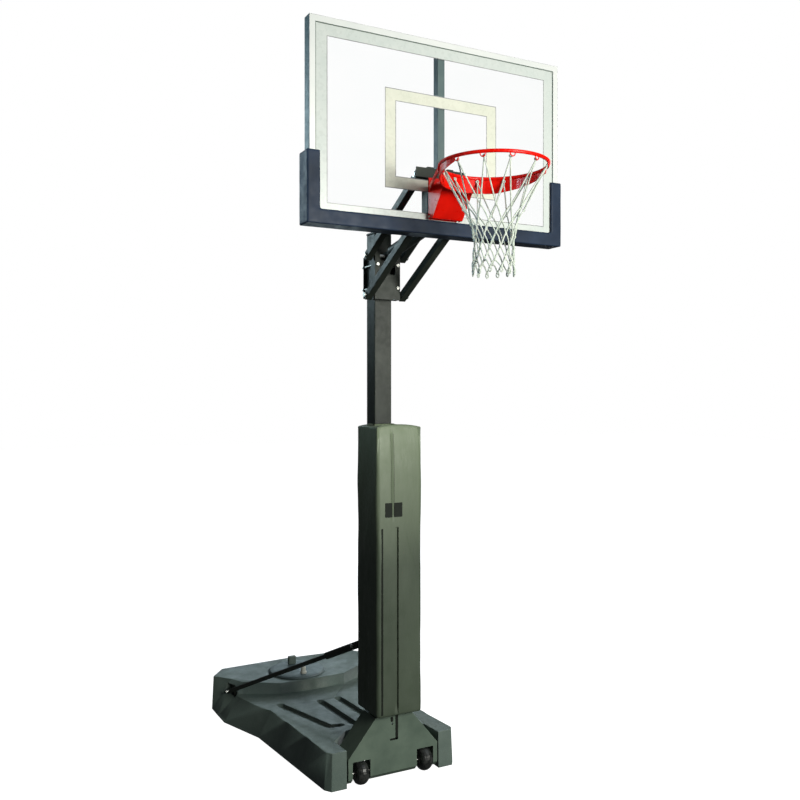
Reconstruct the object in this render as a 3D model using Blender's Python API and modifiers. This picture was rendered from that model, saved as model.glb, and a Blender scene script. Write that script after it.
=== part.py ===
"""Portable basketball hoop, built as separate pieces in metres, +Z up.

The rim side faces -Y, and the ballast tank reaches back to +Y. The hoop stands at its full
height, with the rim at 3.048 m. Every length below is measured from the middle of the pole, and
at the end all pieces move by POLE_Y, so that the origin is the middle of the whole footprint.
"""
import math

import bmesh
import bpy
from mathutils import Matrix, Vector

# ---- driving dimensions -------------------------------------------------------------------
RIM_HEIGHT = 3.048            # top of the ring
RING_RADIUS = 0.2366          # to the middle of the rod, so the ring is 457 mm inside
RING_ROD = 0.008
RING_Y = -1.123

BOARD_WIDTH = 1.3716
BOARD_HEIGHT = 0.9144
BOARD_TOP = 3.732
BOARD_FACE = -0.687           # front face of the frame
FRAME_DEPTH = 0.058
FRAME_BAR = 0.030
FRAME_WALL = 0.004
GLASS_THICK = 0.010

POLE_HALF = 0.0508
POLE_WALL = 0.0035
POLE_TOP = 2.916
POLE_BOTTOM = 0.022

ARM_X = 0.103
ARM_SIZE = 0.038
ARM_WALL = 0.003
ARM_LENGTH = 0.629            # pivot to pivot
ARM_RISE = math.radians(29.2)
ARM_OVERHANG = 0.022
PIVOT_Y = -0.085
LOWER_PIVOT_Z = 2.578
UPPER_PIVOT_Z = 2.789
PIN_RADIUS = 0.008
BORE_RADIUS = 0.0085

BRACKET_HALF = 0.0755
BRACKET_FRONT = -0.105
BRACKET_WALL = 0.005

TANK_TOP = 0.205
TANK_BACK = 1.460
DECK_FRONT = 0.197
DECK_SLOPE = math.radians(3.1)
TOWER_FRONT = -0.178
TOWER_DEPTH = 0.150
TOWER_WALL = 0.005

WHEEL_RADIUS = 0.062
WHEEL_WIDTH = 0.072
WHEEL_X = 0.190
WHEEL_Y = -0.160

PAD_HALF = 0.125
PAD_FRONT = -0.243
PAD_BACK = -0.005
PAD_BOTTOM = 0.356
PAD_TOP = 1.889

GAP = 0.0004                  # left between pieces that touch
PART_NAME = "portable_basketball_hoop"
POLE_Y = (RING_RADIUS + RING_ROD - RING_Y - TANK_BACK) / 2

LOWER_PIVOT = Vector((0.0, PIVOT_Y, LOWER_PIVOT_Z))
UPPER_PIVOT = Vector((0.0, PIVOT_Y, UPPER_PIVOT_Z))
ARM_VECTOR = Vector((0.0, -math.cos(ARM_RISE), math.sin(ARM_RISE))) * ARM_LENGTH
LOWER_FRONT = LOWER_PIVOT + ARM_VECTOR
UPPER_FRONT = UPPER_PIVOT + ARM_VECTOR
BOARD_BOTTOM = BOARD_TOP - BOARD_HEIGHT
GLASS_FRONT = BOARD_FACE + FRAME_WALL + GAP
GLASS_BACK = GLASS_FRONT + GLASS_THICK
HINGE_Y = -0.705
HINGE_Z = 2.886


# ---- scene and materials ------------------------------------------------------------------
for old in list(bpy.data.objects):
    bpy.data.objects.remove(old, do_unlink=True)

parts = bpy.data.collections.new(PART_NAME)
cutters = bpy.data.collections.new("cutters")
bpy.context.scene.collection.children.link(parts)
bpy.context.scene.collection.children.link(cutters)


def make_material(name, colour, roughness, metallic=0.0, alpha=1.0):
    material = bpy.data.materials.new(name)
    material.use_nodes = True
    shader = material.node_tree.nodes["Principled BSDF"]
    shader.inputs["Base Color"].default_value = (*colour, 1.0)
    shader.inputs["Roughness"].default_value = roughness
    shader.inputs["Metallic"].default_value = metallic
    shader.inputs["Alpha"].default_value = alpha
    return material


BLACK_STEEL = make_material("black_steel", (0.020, 0.024, 0.024), 0.42, 0.2)
TANK_PLASTIC = make_material("tank_plastic", (0.050, 0.062, 0.060), 0.60)
BALLAST = make_material("ballast_fill", (0.20, 0.22, 0.24), 0.60)
RUBBER = make_material("wheel_rubber", (0.015, 0.016, 0.016), 0.35)
ZINC = make_material("zinc_hardware", (0.60, 0.60, 0.58), 0.35, 1.0)
VINYL = make_material("pad_vinyl", (0.040, 0.048, 0.038), 0.55)
NAVY_PAD = make_material("edge_pad", (0.030, 0.045, 0.080), 0.60)
ALUMINIUM = make_material("frame_aluminium", (0.62, 0.66, 0.67), 0.35, 0.9)
GLASS = make_material("board_glass", (0.86, 0.93, 0.95), 0.05, 0.0, 0.35)
RIM_RED = make_material("rim_red", (0.75, 0.045, 0.015), 0.35)
NET_CORD = make_material("net_cord", (0.82, 0.82, 0.78), 0.80)
WHITE_CAP = make_material("white_cap", (0.80, 0.80, 0.74), 0.50)


# ---- shape tools --------------------------------------------------------------------------
def settle(obj, name, material, collection=parts):
    """Give an object its name, material and collection."""
    obj.name = name
    for owner in list(obj.users_collection):
        owner.objects.unlink(obj)
    collection.objects.link(obj)
    if material is not None:
        obj.data.materials.clear()
        obj.data.materials.append(material)
    if collection is cutters:
        obj.hide_render = True
        obj.display_type = 'WIRE'
    return obj


def smooth(obj, angle=35.0):
    obj.data.shade_smooth()
    obj.data.set_sharp_from_angle(angle=math.radians(angle))


def add_bevel(obj, width, segments=2):
    bevel = obj.modifiers.new("bevel", 'BEVEL')
    bevel.width = width
    bevel.segments = segments
    bevel.limit_method = 'ANGLE'
    bevel.angle_limit = math.radians(40)


def box(name, low, high, material, bevel=0.0, collection=parts):
    """A box between two corners, with its edges bevelled where a width is given."""
    low, high = Vector(low), Vector(high)
    bpy.ops.mesh.primitive_cube_add(size=1.0)
    obj = bpy.context.active_object
    obj.data.transform(Matrix.Diagonal((*(high - low), 1.0)))
    obj.location = (low + high) / 2
    settle(obj, name, material, collection)
    if bevel:
        add_bevel(obj, bevel)
    return obj


def along(axis):
    """The rotation that turns +Z to the given direction."""
    return Vector((0, 0, 1)).rotation_difference(Vector(axis)).to_euler()


def cylinder(name, start, end, radius, material, sides=24, collection=parts):
    """A round bar between two points."""
    start, end = Vector(start), Vector(end)
    bpy.ops.mesh.primitive_cylinder_add(vertices=sides, radius=radius, depth=(end - start).length)
    obj = bpy.context.active_object
    obj.location = (start + end) / 2
    obj.rotation_euler = along(end - start)
    settle(obj, name, material, collection)
    smooth(obj)
    return obj


def turned(name, profile, origin, axis, material, steps=24, collection=parts):
    """A turned piece: (radius, height) points run down the outer side, around a local Z axis."""
    mesh = bpy.data.meshes.new(name)
    points = [(radius, 0.0, height) for radius, height in profile]
    mesh.from_pydata(points, [(i, i + 1) for i in range(len(points) - 1)], [])
    obj = bpy.data.objects.new(name, mesh)
    settle(obj, name, material, collection)
    screw = obj.modifiers.new("turn", 'SCREW')
    screw.steps = steps
    screw.render_steps = steps
    screw.use_merge_vertices = True
    screw.merge_threshold = 0.00005
    screw.use_smooth_shade = True
    obj.location = origin
    obj.rotation_euler = along(axis)
    return obj


def prism(name, outline, low, high, material, bevel=0.0, collection=parts):
    """A flat outline of (x, y) points, extruded from height low to height high."""
    curve = bpy.data.curves.new(name, 'CURVE')
    curve.dimensions = '2D'
    curve.fill_mode = 'BOTH'
    curve.extrude = (high - low) / 2
    spline = curve.splines.new('POLY')
    spline.points.add(len(outline) - 1)
    for point, (x, y) in zip(spline.points, outline):
        point.co = (x, y, 0.0, 1.0)
    spline.use_cyclic_u = True
    source = bpy.data.objects.new(name + "_outline", curve)
    parts.objects.link(source)
    mesh = bpy.data.meshes.new_from_object(source.evaluated_get(bpy.context.evaluated_depsgraph_get()))
    bpy.data.objects.remove(source, do_unlink=True)
    work = bmesh.new()
    work.from_mesh(mesh)
    bmesh.ops.remove_doubles(work, verts=work.verts, dist=0.00001)
    bmesh.ops.recalc_face_normals(work, faces=work.faces)
    bmesh.ops.translate(work, verts=work.verts, vec=(0, 0, (low + high) / 2))
    work.to_mesh(mesh)
    work.free()
    obj = bpy.data.objects.new(name, mesh)
    settle(obj, name, material, collection)
    if bevel:
        add_bevel(obj, bevel)
    return obj


def side_prism(name, outline, left, right, material, bevel=0.0, collection=parts):
    """A side view outline of (y, z) points, extruded across from x = left to x = right."""
    obj = prism(name, outline, left, right, material, bevel, collection)
    obj.rotation_euler = Matrix(((0, 0, 1), (1, 0, 0), (0, 1, 0))).to_euler()
    return obj


def front_prism(name, outline, back, front, material, bevel=0.0, collection=parts):
    """A front view outline of (x, z) points, extruded from y = back forward to y = front."""
    obj = prism(name, outline, -back, -front, material, bevel, collection)
    obj.rotation_euler = Matrix(((1, 0, 0), (0, 0, -1), (0, 1, 0))).to_euler()
    return obj


def loft(name, lower, upper, low, high, material, collection=parts):
    """A solid between two outlines with the same number of (x, y) points, alike on both sides."""
    work = bmesh.new()
    bottom = [work.verts.new((x, y, low)) for x, y in lower]
    top = [work.verts.new((x, y, high)) for x, y in upper]
    count = len(bottom)
    for i in range(count):
        j = (i + 1) % count
        first, last = (i, j) if lower[i][0] + lower[j][0] > 0 else (j, i)
        work.faces.new((bottom[first], bottom[last], top[first]))
        work.faces.new((top[first], bottom[last], top[last]))
    work.faces.new(bottom)
    work.faces.new(top)
    bmesh.ops.recalc_face_normals(work, faces=work.faces)
    mesh = bpy.data.meshes.new(name)
    work.to_mesh(mesh)
    work.free()
    return settle(bpy.data.objects.new(name, mesh), name, material, collection)


def combine(obj, other, operation):
    """Cut another shape out of an object, or join it on."""
    if other.name in parts.objects:
        settle(other, other.name, None, cutters)
    step = obj.modifiers.new(other.name, 'BOOLEAN')
    step.operation = operation
    step.solver = 'EXACT'
    step.object = other
    return obj


def cut(obj, *others):
    for other in others:
        combine(obj, other, 'DIFFERENCE')
    return obj


def join(obj, *others):
    for other in others:
        combine(obj, other, 'UNION')
    return obj


def bore(name, start, end, radius, sides=24):
    """A round cutter."""
    return cylinder(name, start, end, radius, None, sides, cutters)


def bolt(name, head, tip, radius, material=ZINC, head_radius=0.011, head_height=0.007, nut=True):
    """A bolt whose head sits at one point and whose nut ends at the other."""
    head, tip = Vector(head), Vector(tip)
    length = (tip - head).length
    profile = [(0.0, length), (radius, length)]
    if nut:
        nut_start = length - 0.004
        profile += [(radius, nut_start), (head_radius, nut_start), (head_radius, nut_start - 0.008),
                    (radius, nut_start - 0.008)]
    profile += [(radius, 0.0), (head_radius, 0.0), (head_radius, -head_height), (0.0, -head_height)]
    return turned(name, profile, head, tip - head, material, steps=12)


def mirrored(half):
    """A closed outline from its +X half, which runs from the front to the back."""
    return list(half) + [(-x, y) for x, y in reversed(half) if abs(x) > 1e-6]


SIDES = (("left", -1), ("right", 1))


# ---- ballast tank -------------------------------------------------------------------------
TANK_FOOT_HALF = [(0.275, -0.179), (0.361, -0.179), (0.387, -0.140), (0.412, 0.130), (0.438, 0.410),
                  (0.463, 0.680), (0.574, 1.014), (0.575, 1.150), (0.575, 1.284), (0.490, 1.440),
                  (0.0, TANK_BACK)]
TANK_TOP_HALF = [(0.279, -0.175), (0.355, -0.175), (0.374, -0.145), (0.370, 0.130), (0.364, 0.410),
                 (0.358, 0.680), (0.405, 1.060), (0.472, 1.190), (0.560, 1.300), (0.466, 1.425),
                 (0.0, TANK_BACK - 0.010)]
PLATEAU_HALF = [(0.0, 0.952), (0.220, 0.965), (0.424, 1.095), (0.900, 1.150)]
NOTCH_HALF = [(0.0, 0.115), (0.150, 0.115), (0.2745, -0.015), (0.2745, -0.400)]
GROOVES_RIGHT = [((0.300, 0.755), (0.200, 0.225)), ((0.200, 0.225), (0.136, 0.217)),
                 ((0.060, 0.700), (0.060, 0.215))]
GROOVE_HALF = 0.026
GROOVE_DEPTH = 0.022
LID_X = -0.037
LID_Y = 1.158
LID_RADIUS = 0.186
PLUG_Y = 1.036
FOOT_SEAT_X = 0.462
FOOT_BOLT = Vector((0.496, 1.150, 0.143))


def inset_outline(outline, inset):
    """Move every side of a counterclockwise outline inwards by the inset."""
    points = [Vector(point) for point in outline]
    moved = []
    for i, point in enumerate(points):
        before = (point - points[i - 1]).normalized()
        after = (points[(i + 1) % len(points)] - point).normalized()
        inward = Vector((-before.y - after.y, before.x + after.x))
        moved.append(point + inward * inset / (1 + before.dot(after)))
    return moved


def groove(name, start, end, inset):
    """A round-ended slot pressed into the sloping deck, or a larger one around it."""
    start, end = Vector(start), Vector(end)
    heading = math.atan2(end.y - start.y, end.x - start.x)
    half = GROOVE_HALF + inset
    outline = []
    for centre, turn in ((start, heading + math.pi / 2), (end, heading - math.pi / 2)):
        for step in range(7):
            angle = turn + math.pi * step / 6
            outline.append((centre.x + half * math.cos(angle), centre.y + half * math.sin(angle)))
    slot = prism(name, outline, -GROOVE_DEPTH - inset, 0.100, None, 0.0, cutters)
    slot.rotation_euler = (-DECK_SLOPE, 0.0, 0.0)
    slot.location = (0.0, 0.0, DECK_FRONT - 0.010)
    return slot


def tank_solid(name, inset, material, collection=parts):
    """The tank's outer form, or the same form a wall's thickness further in."""
    solid = loft(name, inset_outline(mirrored(TANK_FOOT_HALF), inset),
                 inset_outline(mirrored(TANK_TOP_HALF), inset), inset, TANK_TOP - inset,
                 material, collection)
    front = [(x, y + inset) for x, y in PLATEAU_HALF]
    ahead = [(0.900, -0.500)] + list(reversed(front)) + [(-x, y) for x, y in front[1:]] + [(-0.900, -0.500)]
    deck = prism(name + "_deck_cut", ahead, 0.0, 0.300, None, 0.0, cutters)
    deck.rotation_euler = (-DECK_SLOPE, 0.0, 0.0)
    deck.location = (0.0, 0.0, DECK_FRONT - 0.010 - inset)
    notch = [(x + inset * (x > 0), y + inset) for x, y in NOTCH_HALF]
    notch_plan = list(reversed(notch)) + [(-x, y) for x, y in notch[1:]]
    cut(solid, deck, prism(name + "_notch_cut", notch_plan, -0.050, 0.350, None, 0.0, cutters))
    for word, side in SIDES:
        for number, (start, end) in enumerate(GROOVES_RIGHT):
            cut(solid, groove("%s_groove_cut_%s_%d" % (name, word, number), (side * start[0], start[1]),
                              (side * end[0], end[1]), inset))
    return solid


def foot_seat(name, side, grow):
    """The flat recess in the tank's flank where a brace foot sits, or a larger box around it."""
    low, high = sorted((side * (FOOT_SEAT_X - grow), side * 0.700))
    return box(name, (low, 1.095 - grow, 0.112 - grow), (high, 1.215 + grow, 0.178 + grow),
               None, 0.0, cutters)


def build_tank():
    tank = tank_solid("tank", 0.0, TANK_PLASTIC)
    cavity = tank_solid("tank_cavity", 0.006, None, cutters)
    ballast = tank_solid("ballast", 0.009, BALLAST)
    for word, side in SIDES:
        cut(cavity, foot_seat("cavity_foot_cut_" + word, side, 0.006))
        cut(ballast, foot_seat("ballast_foot_cut_" + word, side, 0.016))
    cut(tank, cavity, bore("fill_hole_cut", (LID_X, PLUG_Y, 0.150), (LID_X, PLUG_Y, 0.260), 0.016))
    cut(ballast, bore("ballast_fill_well", (LID_X, PLUG_Y, 0.150), (LID_X, PLUG_Y, 0.260), 0.024))
    for word, side in SIDES:
        cut(tank, foot_seat("foot_seat_cut_" + word, side, 0.0),
            bore("foot_hole_cut_" + word, (side * 0.440, FOOT_BOLT.y, FOOT_BOLT.z),
                 (side * 0.600, FOOT_BOLT.y, FOOT_BOLT.z), 0.0060))


def build_tank_lid():
    top = TANK_TOP + 0.018
    under = TANK_TOP + GAP
    lid = turned("tank_lid", [(0.0, top), (0.150, top), (LID_RADIUS - 0.010, top - 0.004),
                              (LID_RADIUS, top - 0.012),
                              (LID_RADIUS, under), (0.0, under)], (LID_X, LID_Y, 0), (0, 0, 1),
                 TANK_PLASTIC, steps=48)
    cut(lid, bore("lid_hole_cut", (LID_X, PLUG_Y, 0.150), (LID_X, PLUG_Y, 0.300), 0.0165))
    box("lid_grip", (LID_X - 0.026, 1.236, top + GAP), (LID_X + 0.026, 1.262, top + 0.056),
        TANK_PLASTIC, bevel=0.005)
    turned("fill_plug", [(0.0, 0.266), (0.013, 0.266), (0.016, 0.262), (0.016, 0.236), (0.020, 0.235),
                         (0.020, top + GAP), (0.0150, top + GAP), (0.0150, 0.180), (0.0, 0.180)],
           (LID_X, PLUG_Y, 0), (0, 0, 1), WHITE_CAP, steps=24)


# ---- tower and wheels ---------------------------------------------------------------------
TOWER_FOOT_HALF = 0.266
TOWER_KNEE_Z = 0.146
TOWER_TOP_HALF = 0.108
TOWER_TOP_Z = 0.336
TOWER_BOTTOM_Z = 0.014
TOWER_LIP_Z = 0.038             # where the plate bends back under itself
TOWER_LIP_DEPTH = 0.024
WHEEL_NOTCH = (0.139, 0.241, 0.128)     # inner x, outer x, top z
WHEEL_Z = WHEEL_RADIUS + 0.001


def tower_outline(wall):
    """The tower's front view, shrunk by a wall thickness."""
    foot = TOWER_FOOT_HALF - wall
    top = TOWER_TOP_HALF - wall * 0.8
    half = [(foot, TOWER_BOTTOM_Z + wall), (foot, TOWER_KNEE_Z - wall * 0.4), (top, TOWER_TOP_Z - wall)]
    return half + [(-x, z) for x, z in reversed(half)]


def tower_lip_cut(name, shift):
    """The wedge taken off the plate's foot, which leaves a lip that leans back."""
    bend = TOWER_FRONT + shift
    ahead = TOWER_FRONT - 0.100
    outline = [(bend, TOWER_LIP_Z), (ahead, TOWER_LIP_Z), (ahead, -0.050), (bend + TOWER_LIP_DEPTH, -0.050),
               (bend + TOWER_LIP_DEPTH, TOWER_BOTTOM_Z - 0.001)]
    return side_prism(name, outline, -0.400, 0.400, None, 0.0, cutters)


def build_tower():
    back = TOWER_FRONT + TOWER_DEPTH
    tower = front_prism("tower_bracket", tower_outline(0.0), back, TOWER_FRONT, BLACK_STEEL)
    inner = front_prism("tower_inner_cut", tower_outline(TOWER_WALL), back + 0.050,
                        TOWER_FRONT + TOWER_WALL, None, 0.0, cutters)
    cut(inner, tower_lip_cut("tower_inner_lip_cut", TOWER_WALL * 1.3))
    cut(tower, inner)
    for word, side in SIDES:
        inner_x, outer_x, top = WHEEL_NOTCH
        low_x = min(side * inner_x, side * outer_x)
        high_x = max(side * inner_x, side * outer_x)
        cut(tower, box("wheel_notch_cut_" + word, (low_x, -0.300, -0.050), (high_x, -0.085, top),
                       None, 0.0, cutters))
        strap = box("axle_strap_" + word, (min(side * 0.128, side * 0.134), TOWER_FRONT + 0.004, 0.018),
                    (max(side * 0.128, side * 0.134), -0.100, 0.110), None, 0.0, cutters)
        join(tower, strap)
    lever_slot = box("lever_slot_cut", (0.010, -0.200, 0.205), (0.024, -0.150, 0.400), None, 0.0, cutters)
    slot_foot = box("lever_slot_foot_cut", (-0.024, -0.200, 0.205), (0.024, -0.150, 0.213),
                    None, 0.0, cutters)
    join(lever_slot, slot_foot)
    cut(tower, lever_slot,
        bore("tower_hole_cut", (-0.010, -0.200, 0.292), (-0.010, -0.150, 0.292), 0.006, 16))
    saddle = box("pole_saddle", (-0.0620, -0.0600, TOWER_BOTTOM_Z + 0.002), (0.0620, -0.0280, 0.240),
                 None, 0.0, cutters)
    saddle_rear = box("pole_saddle_cheeks", (-0.0620, -0.0600, TOWER_BOTTOM_Z + 0.002),
                      (0.0620, 0.0400, 0.200), None, 0.0, cutters)
    web = box("pole_saddle_web", (-0.0040, TOWER_FRONT + 0.002, TOWER_BOTTOM_Z + 0.002),
              (0.0040, -0.0590, 0.200), None, 0.0, cutters)
    join(saddle, saddle_rear, web)
    join(tower, saddle)
    cut(tower, tower_lip_cut("tower_outer_lip_cut", 0.0),
        box("pole_socket_cut", (-POLE_HALF - GAP, -POLE_HALF - GAP, POLE_BOTTOM - GAP),
            (POLE_HALF + GAP, 0.2, 0.5), None, 0.0, cutters),
        bore("axle_hole_cut", (-0.300, WHEEL_Y, WHEEL_Z), (0.300, WHEEL_Y, WHEEL_Z), 0.0068),
        bore("foot_bolt_cut", (-0.1, 0.0, 0.130), (0.1, 0.0, 0.130), 0.0066))
    bolt("pole_foot_bolt", (-0.0626, 0.0, 0.130), (0.0760, 0.0, 0.130), 0.006)


def build_wheels():
    half = WHEEL_WIDTH / 2
    radius = WHEEL_RADIUS
    for word, side in SIDES:
        side_face = [(0.0072, half), (0.018, half), (0.022, half - 0.004), (0.040, half - 0.004)]
        shoulder = [(radius - 0.010, half - 0.008), (radius - 0.004, half - 0.017), (radius, half - 0.028)]
        right_half = side_face + shoulder
        left_half = [(reach, -across) for reach, across in reversed(right_half)]
        turned("wheel_" + word, right_half + left_half + [right_half[0]], (side * WHEEL_X, WHEEL_Y, WHEEL_Z),
               (1, 0, 0), RUBBER, steps=32)
    turned("wheel_axle", [(0.0, 0.262), (0.0062, 0.262), (0.0062, -0.262), (0.0, -0.262)],
           (0, WHEEL_Y, WHEEL_Z), (1, 0, 0), ZINC, steps=24)


# ---- pole, pad and braces -----------------------------------------------------------------
def build_pole():
    pole = box("pole", (-POLE_HALF, -POLE_HALF, POLE_BOTTOM), (POLE_HALF, POLE_HALF, POLE_TOP),
               BLACK_STEEL, bevel=0.004)
    inner = POLE_HALF - POLE_WALL
    cut(pole, box("pole_inner_cut", (-inner, -inner, -0.1), (inner, inner, POLE_TOP + 0.1),
                  None, 0.0, cutters),
        bore("pole_bolt_cut", (-0.1, 0.0, 0.130), (0.1, 0.0, 0.130), 0.0066))
    cap = box("pole_cap", (-POLE_HALF - 0.002, -POLE_HALF - 0.002, POLE_TOP + GAP),
              (POLE_HALF + 0.002, POLE_HALF + 0.002, POLE_TOP + 0.012), BLACK_STEEL, bevel=0.003)
    plug = box("pole_cap_plug", (-inner + 0.002, -inner + 0.002, POLE_TOP - 0.030),
               (inner - 0.002, inner - 0.002, POLE_TOP + 0.006), None, 0.0, cutters)
    join(cap, plug)


def build_post_pad():
    """A thick foam block with a slot at its back that takes the front of the pole."""
    slot = POLE_HALF + 0.0015
    outline = [(PAD_HALF, PAD_BACK), (slot, PAD_BACK), (slot, -slot), (-slot, -slot), (-slot, PAD_BACK),
               (-PAD_HALF, PAD_BACK), (-PAD_HALF, PAD_FRONT), (PAD_HALF, PAD_FRONT)]
    prism("post_pad", outline, PAD_BOTTOM, PAD_TOP, VINYL, bevel=0.006)


BRACE_ROD_RADIUS = 0.0130
BRACE_SLEEVE_RADIUS = 0.0200
BRACE_PLATE_Z = 0.655
BRACE_TOP_X = 0.0960
BRACE_TOP_Y = 0.0900
SLEEVE_LENGTH = 0.260


def build_braces():
    plate = box("brace_collar", (-0.0660, POLE_HALF + GAP, 0.610), (0.0660, 0.0580, 0.700), BLACK_STEEL)
    for word, side in SIDES:
        ear = box("brace_ear_" + word, (min(side * 0.060, side * 0.066), 0.0570, 0.630),
                  (max(side * 0.060, side * 0.066), 0.1150, 0.680), None, 0.0, cutters)
        join(plate, ear)
        upper_end = Vector((side * BRACE_TOP_X, BRACE_TOP_Y, BRACE_PLATE_Z))
        foot_end = Vector((side * FOOT_BOLT.x, FOOT_BOLT.y, FOOT_BOLT.z))
        run = (foot_end - upper_end).normalized()
        near = upper_end - run * 0.018
        far = foot_end + run * 0.018
        sleeve_end = upper_end + run * SLEEVE_LENGTH
        rod = cylinder("brace_rod_" + word, upper_end + run * 0.120, far, BRACE_ROD_RADIUS, BLACK_STEEL, 20)
        cut(rod, bore("brace_rod_hole_" + word, foot_end - Vector((0.03, 0, 0)),
                      foot_end + Vector((0.03, 0, 0)), 0.0056, 16))
        sleeve = cylinder("brace_sleeve_" + word, near, sleeve_end, BRACE_SLEEVE_RADIUS, BLACK_STEEL, 20)
        inner = cylinder("brace_sleeve_cut_" + word, upper_end + run * 0.040, sleeve_end + run * 0.05,
                         BRACE_ROD_RADIUS + 0.001, None, 20, cutters)
        cut(sleeve, inner, bore("brace_sleeve_hole_" + word, upper_end - Vector((0.03, 0, 0)),
                                upper_end + Vector((0.03, 0, 0)), 0.0056, 16))
        cut(plate, bore("brace_ear_hole_" + word, (side * 0.050, BRACE_TOP_Y, BRACE_PLATE_Z),
                        (side * 0.080, BRACE_TOP_Y, BRACE_PLATE_Z), 0.0056, 16))
        bolt("brace_bolt_front_" + word, (side * 0.1230, BRACE_TOP_Y, BRACE_PLATE_Z),
             (side * 0.0470, BRACE_TOP_Y, BRACE_PLATE_Z), 0.0050, head_radius=0.0095)
        low, high = sorted((side * (FOOT_SEAT_X + GAP), side * (FOOT_SEAT_X + 0.008)))
        foot = box("brace_foot_" + word, (low, 1.128, 0.116), (high, 1.205, 0.174), BLACK_STEEL)
        outside = Vector((side * 0.5145, FOOT_BOLT.y, FOOT_BOLT.z))
        inside = Vector((side * 0.4500, FOOT_BOLT.y, FOOT_BOLT.z))
        cut(foot, bore("brace_foot_hole_" + word, inside, outside, 0.0056, 16))
        bolt("brace_bolt_rear_" + word, outside, inside, 0.0050, head_radius=0.0095, nut=False)


# ---- lift arms ----------------------------------------------------------------------------
def build_arm_bracket():
    low, high = 2.555, 2.812
    bracket = box("arm_bracket", (-BRACKET_HALF, BRACKET_FRONT, low), (BRACKET_HALF, -POLE_HALF - GAP, high),
                  BLACK_STEEL)
    wall = BRACKET_WALL
    inner = box("bracket_inner_cut", (-BRACKET_HALF + wall, BRACKET_FRONT + wall, low - 0.1),
                (BRACKET_HALF - wall, -POLE_HALF - GAP - wall, high + 0.1), None, 0.0, cutters)
    strut_notch = box("strut_notch_cut", (-0.0460, -0.200, 2.690),
                      (0.0460, BRACKET_FRONT + wall + 0.001, 2.900),
                      None, 0.0, cutters)
    cut(bracket, inner, strut_notch)
    for name, z in (("lower", LOWER_PIVOT_Z), ("upper", UPPER_PIVOT_Z)):
        cut(bracket, bore(name + "_bracket_hole", (-0.1, PIVOT_Y, z), (0.1, PIVOT_Y, z), BORE_RADIUS))
    clamp = box("clamp_plate", (-0.0680, POLE_HALF + GAP, 2.570), (0.0680, 0.0600, 2.795),
                BLACK_STEEL, bevel=0.002)
    for word, side in SIDES:
        for level, z in (("lower", 2.620), ("upper", 2.742)):
            x = side * 0.0605
            hole = bore("clamp_hole_%s_%s" % (level, word), (x, -0.2, z), (x, 0.2, z), 0.0054, 16)
            cut(bracket, hole)
            cut(clamp, hole)
            bolt("clamp_bolt_%s_%s" % (level, word), (x, BRACKET_FRONT - GAP, z), (x, 0.0735, z), 0.0048,
                 head_radius=0.0085)


def build_arm(name, pivot, side):
    """A square tube arm, bored at both ends, with its origin on the rear pivot."""
    half = ARM_SIZE / 2
    arm = box(name, (-half, -half, -ARM_OVERHANG), (half, half, ARM_LENGTH + ARM_OVERHANG),
              BLACK_STEEL, bevel=0.002)
    arm.data.transform(Matrix.Translation((0, 0, ARM_LENGTH / 2)))
    arm.location = (side * ARM_X, pivot.y, pivot.z)
    arm.rotation_euler = along(ARM_VECTOR)
    bpy.context.view_layer.update()
    inner = half - ARM_WALL
    core = box(name + "_core_cut", (-inner, -inner, -0.1), (inner, inner, ARM_LENGTH + 0.1),
               None, 0.0, cutters)
    core.data.transform(Matrix.Translation((0, 0, ARM_LENGTH / 2)))
    core.location = arm.location
    core.rotation_euler = arm.rotation_euler
    cut(arm, core)
    for end, point in (("rear", pivot), ("front", pivot + ARM_VECTOR)):
        start = Vector((side * ARM_X - 0.05, point.y, point.z))
        cut(arm, bore("%s_%s_hole" % (name, end), start, start + Vector((0.1, 0, 0)), BORE_RADIUS))


def build_pin(name, point, half_length):
    """A pivot pin across the arms, with a round head and a nut outside them."""
    turned(name, [(0.0, half_length + 0.008), (0.013, half_length + 0.008), (0.013, half_length),
                  (PIN_RADIUS, half_length), (PIN_RADIUS, -half_length), (0.013, -half_length),
                  (0.013, -half_length - 0.008), (0.0, -half_length - 0.008)],
           point, (1, 0, 0), ZINC, steps=24)


STRUT_VECTOR = LOWER_FRONT - UPPER_PIVOT
STRUT_TUBE_START = 0.088
STRUT_TUBE_END = 0.400
STRUT_TUBE_RADIUS = 0.034
STRUT_ROD_RADIUS = 0.009
STRUT_ROD_LENGTH = 0.385


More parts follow.
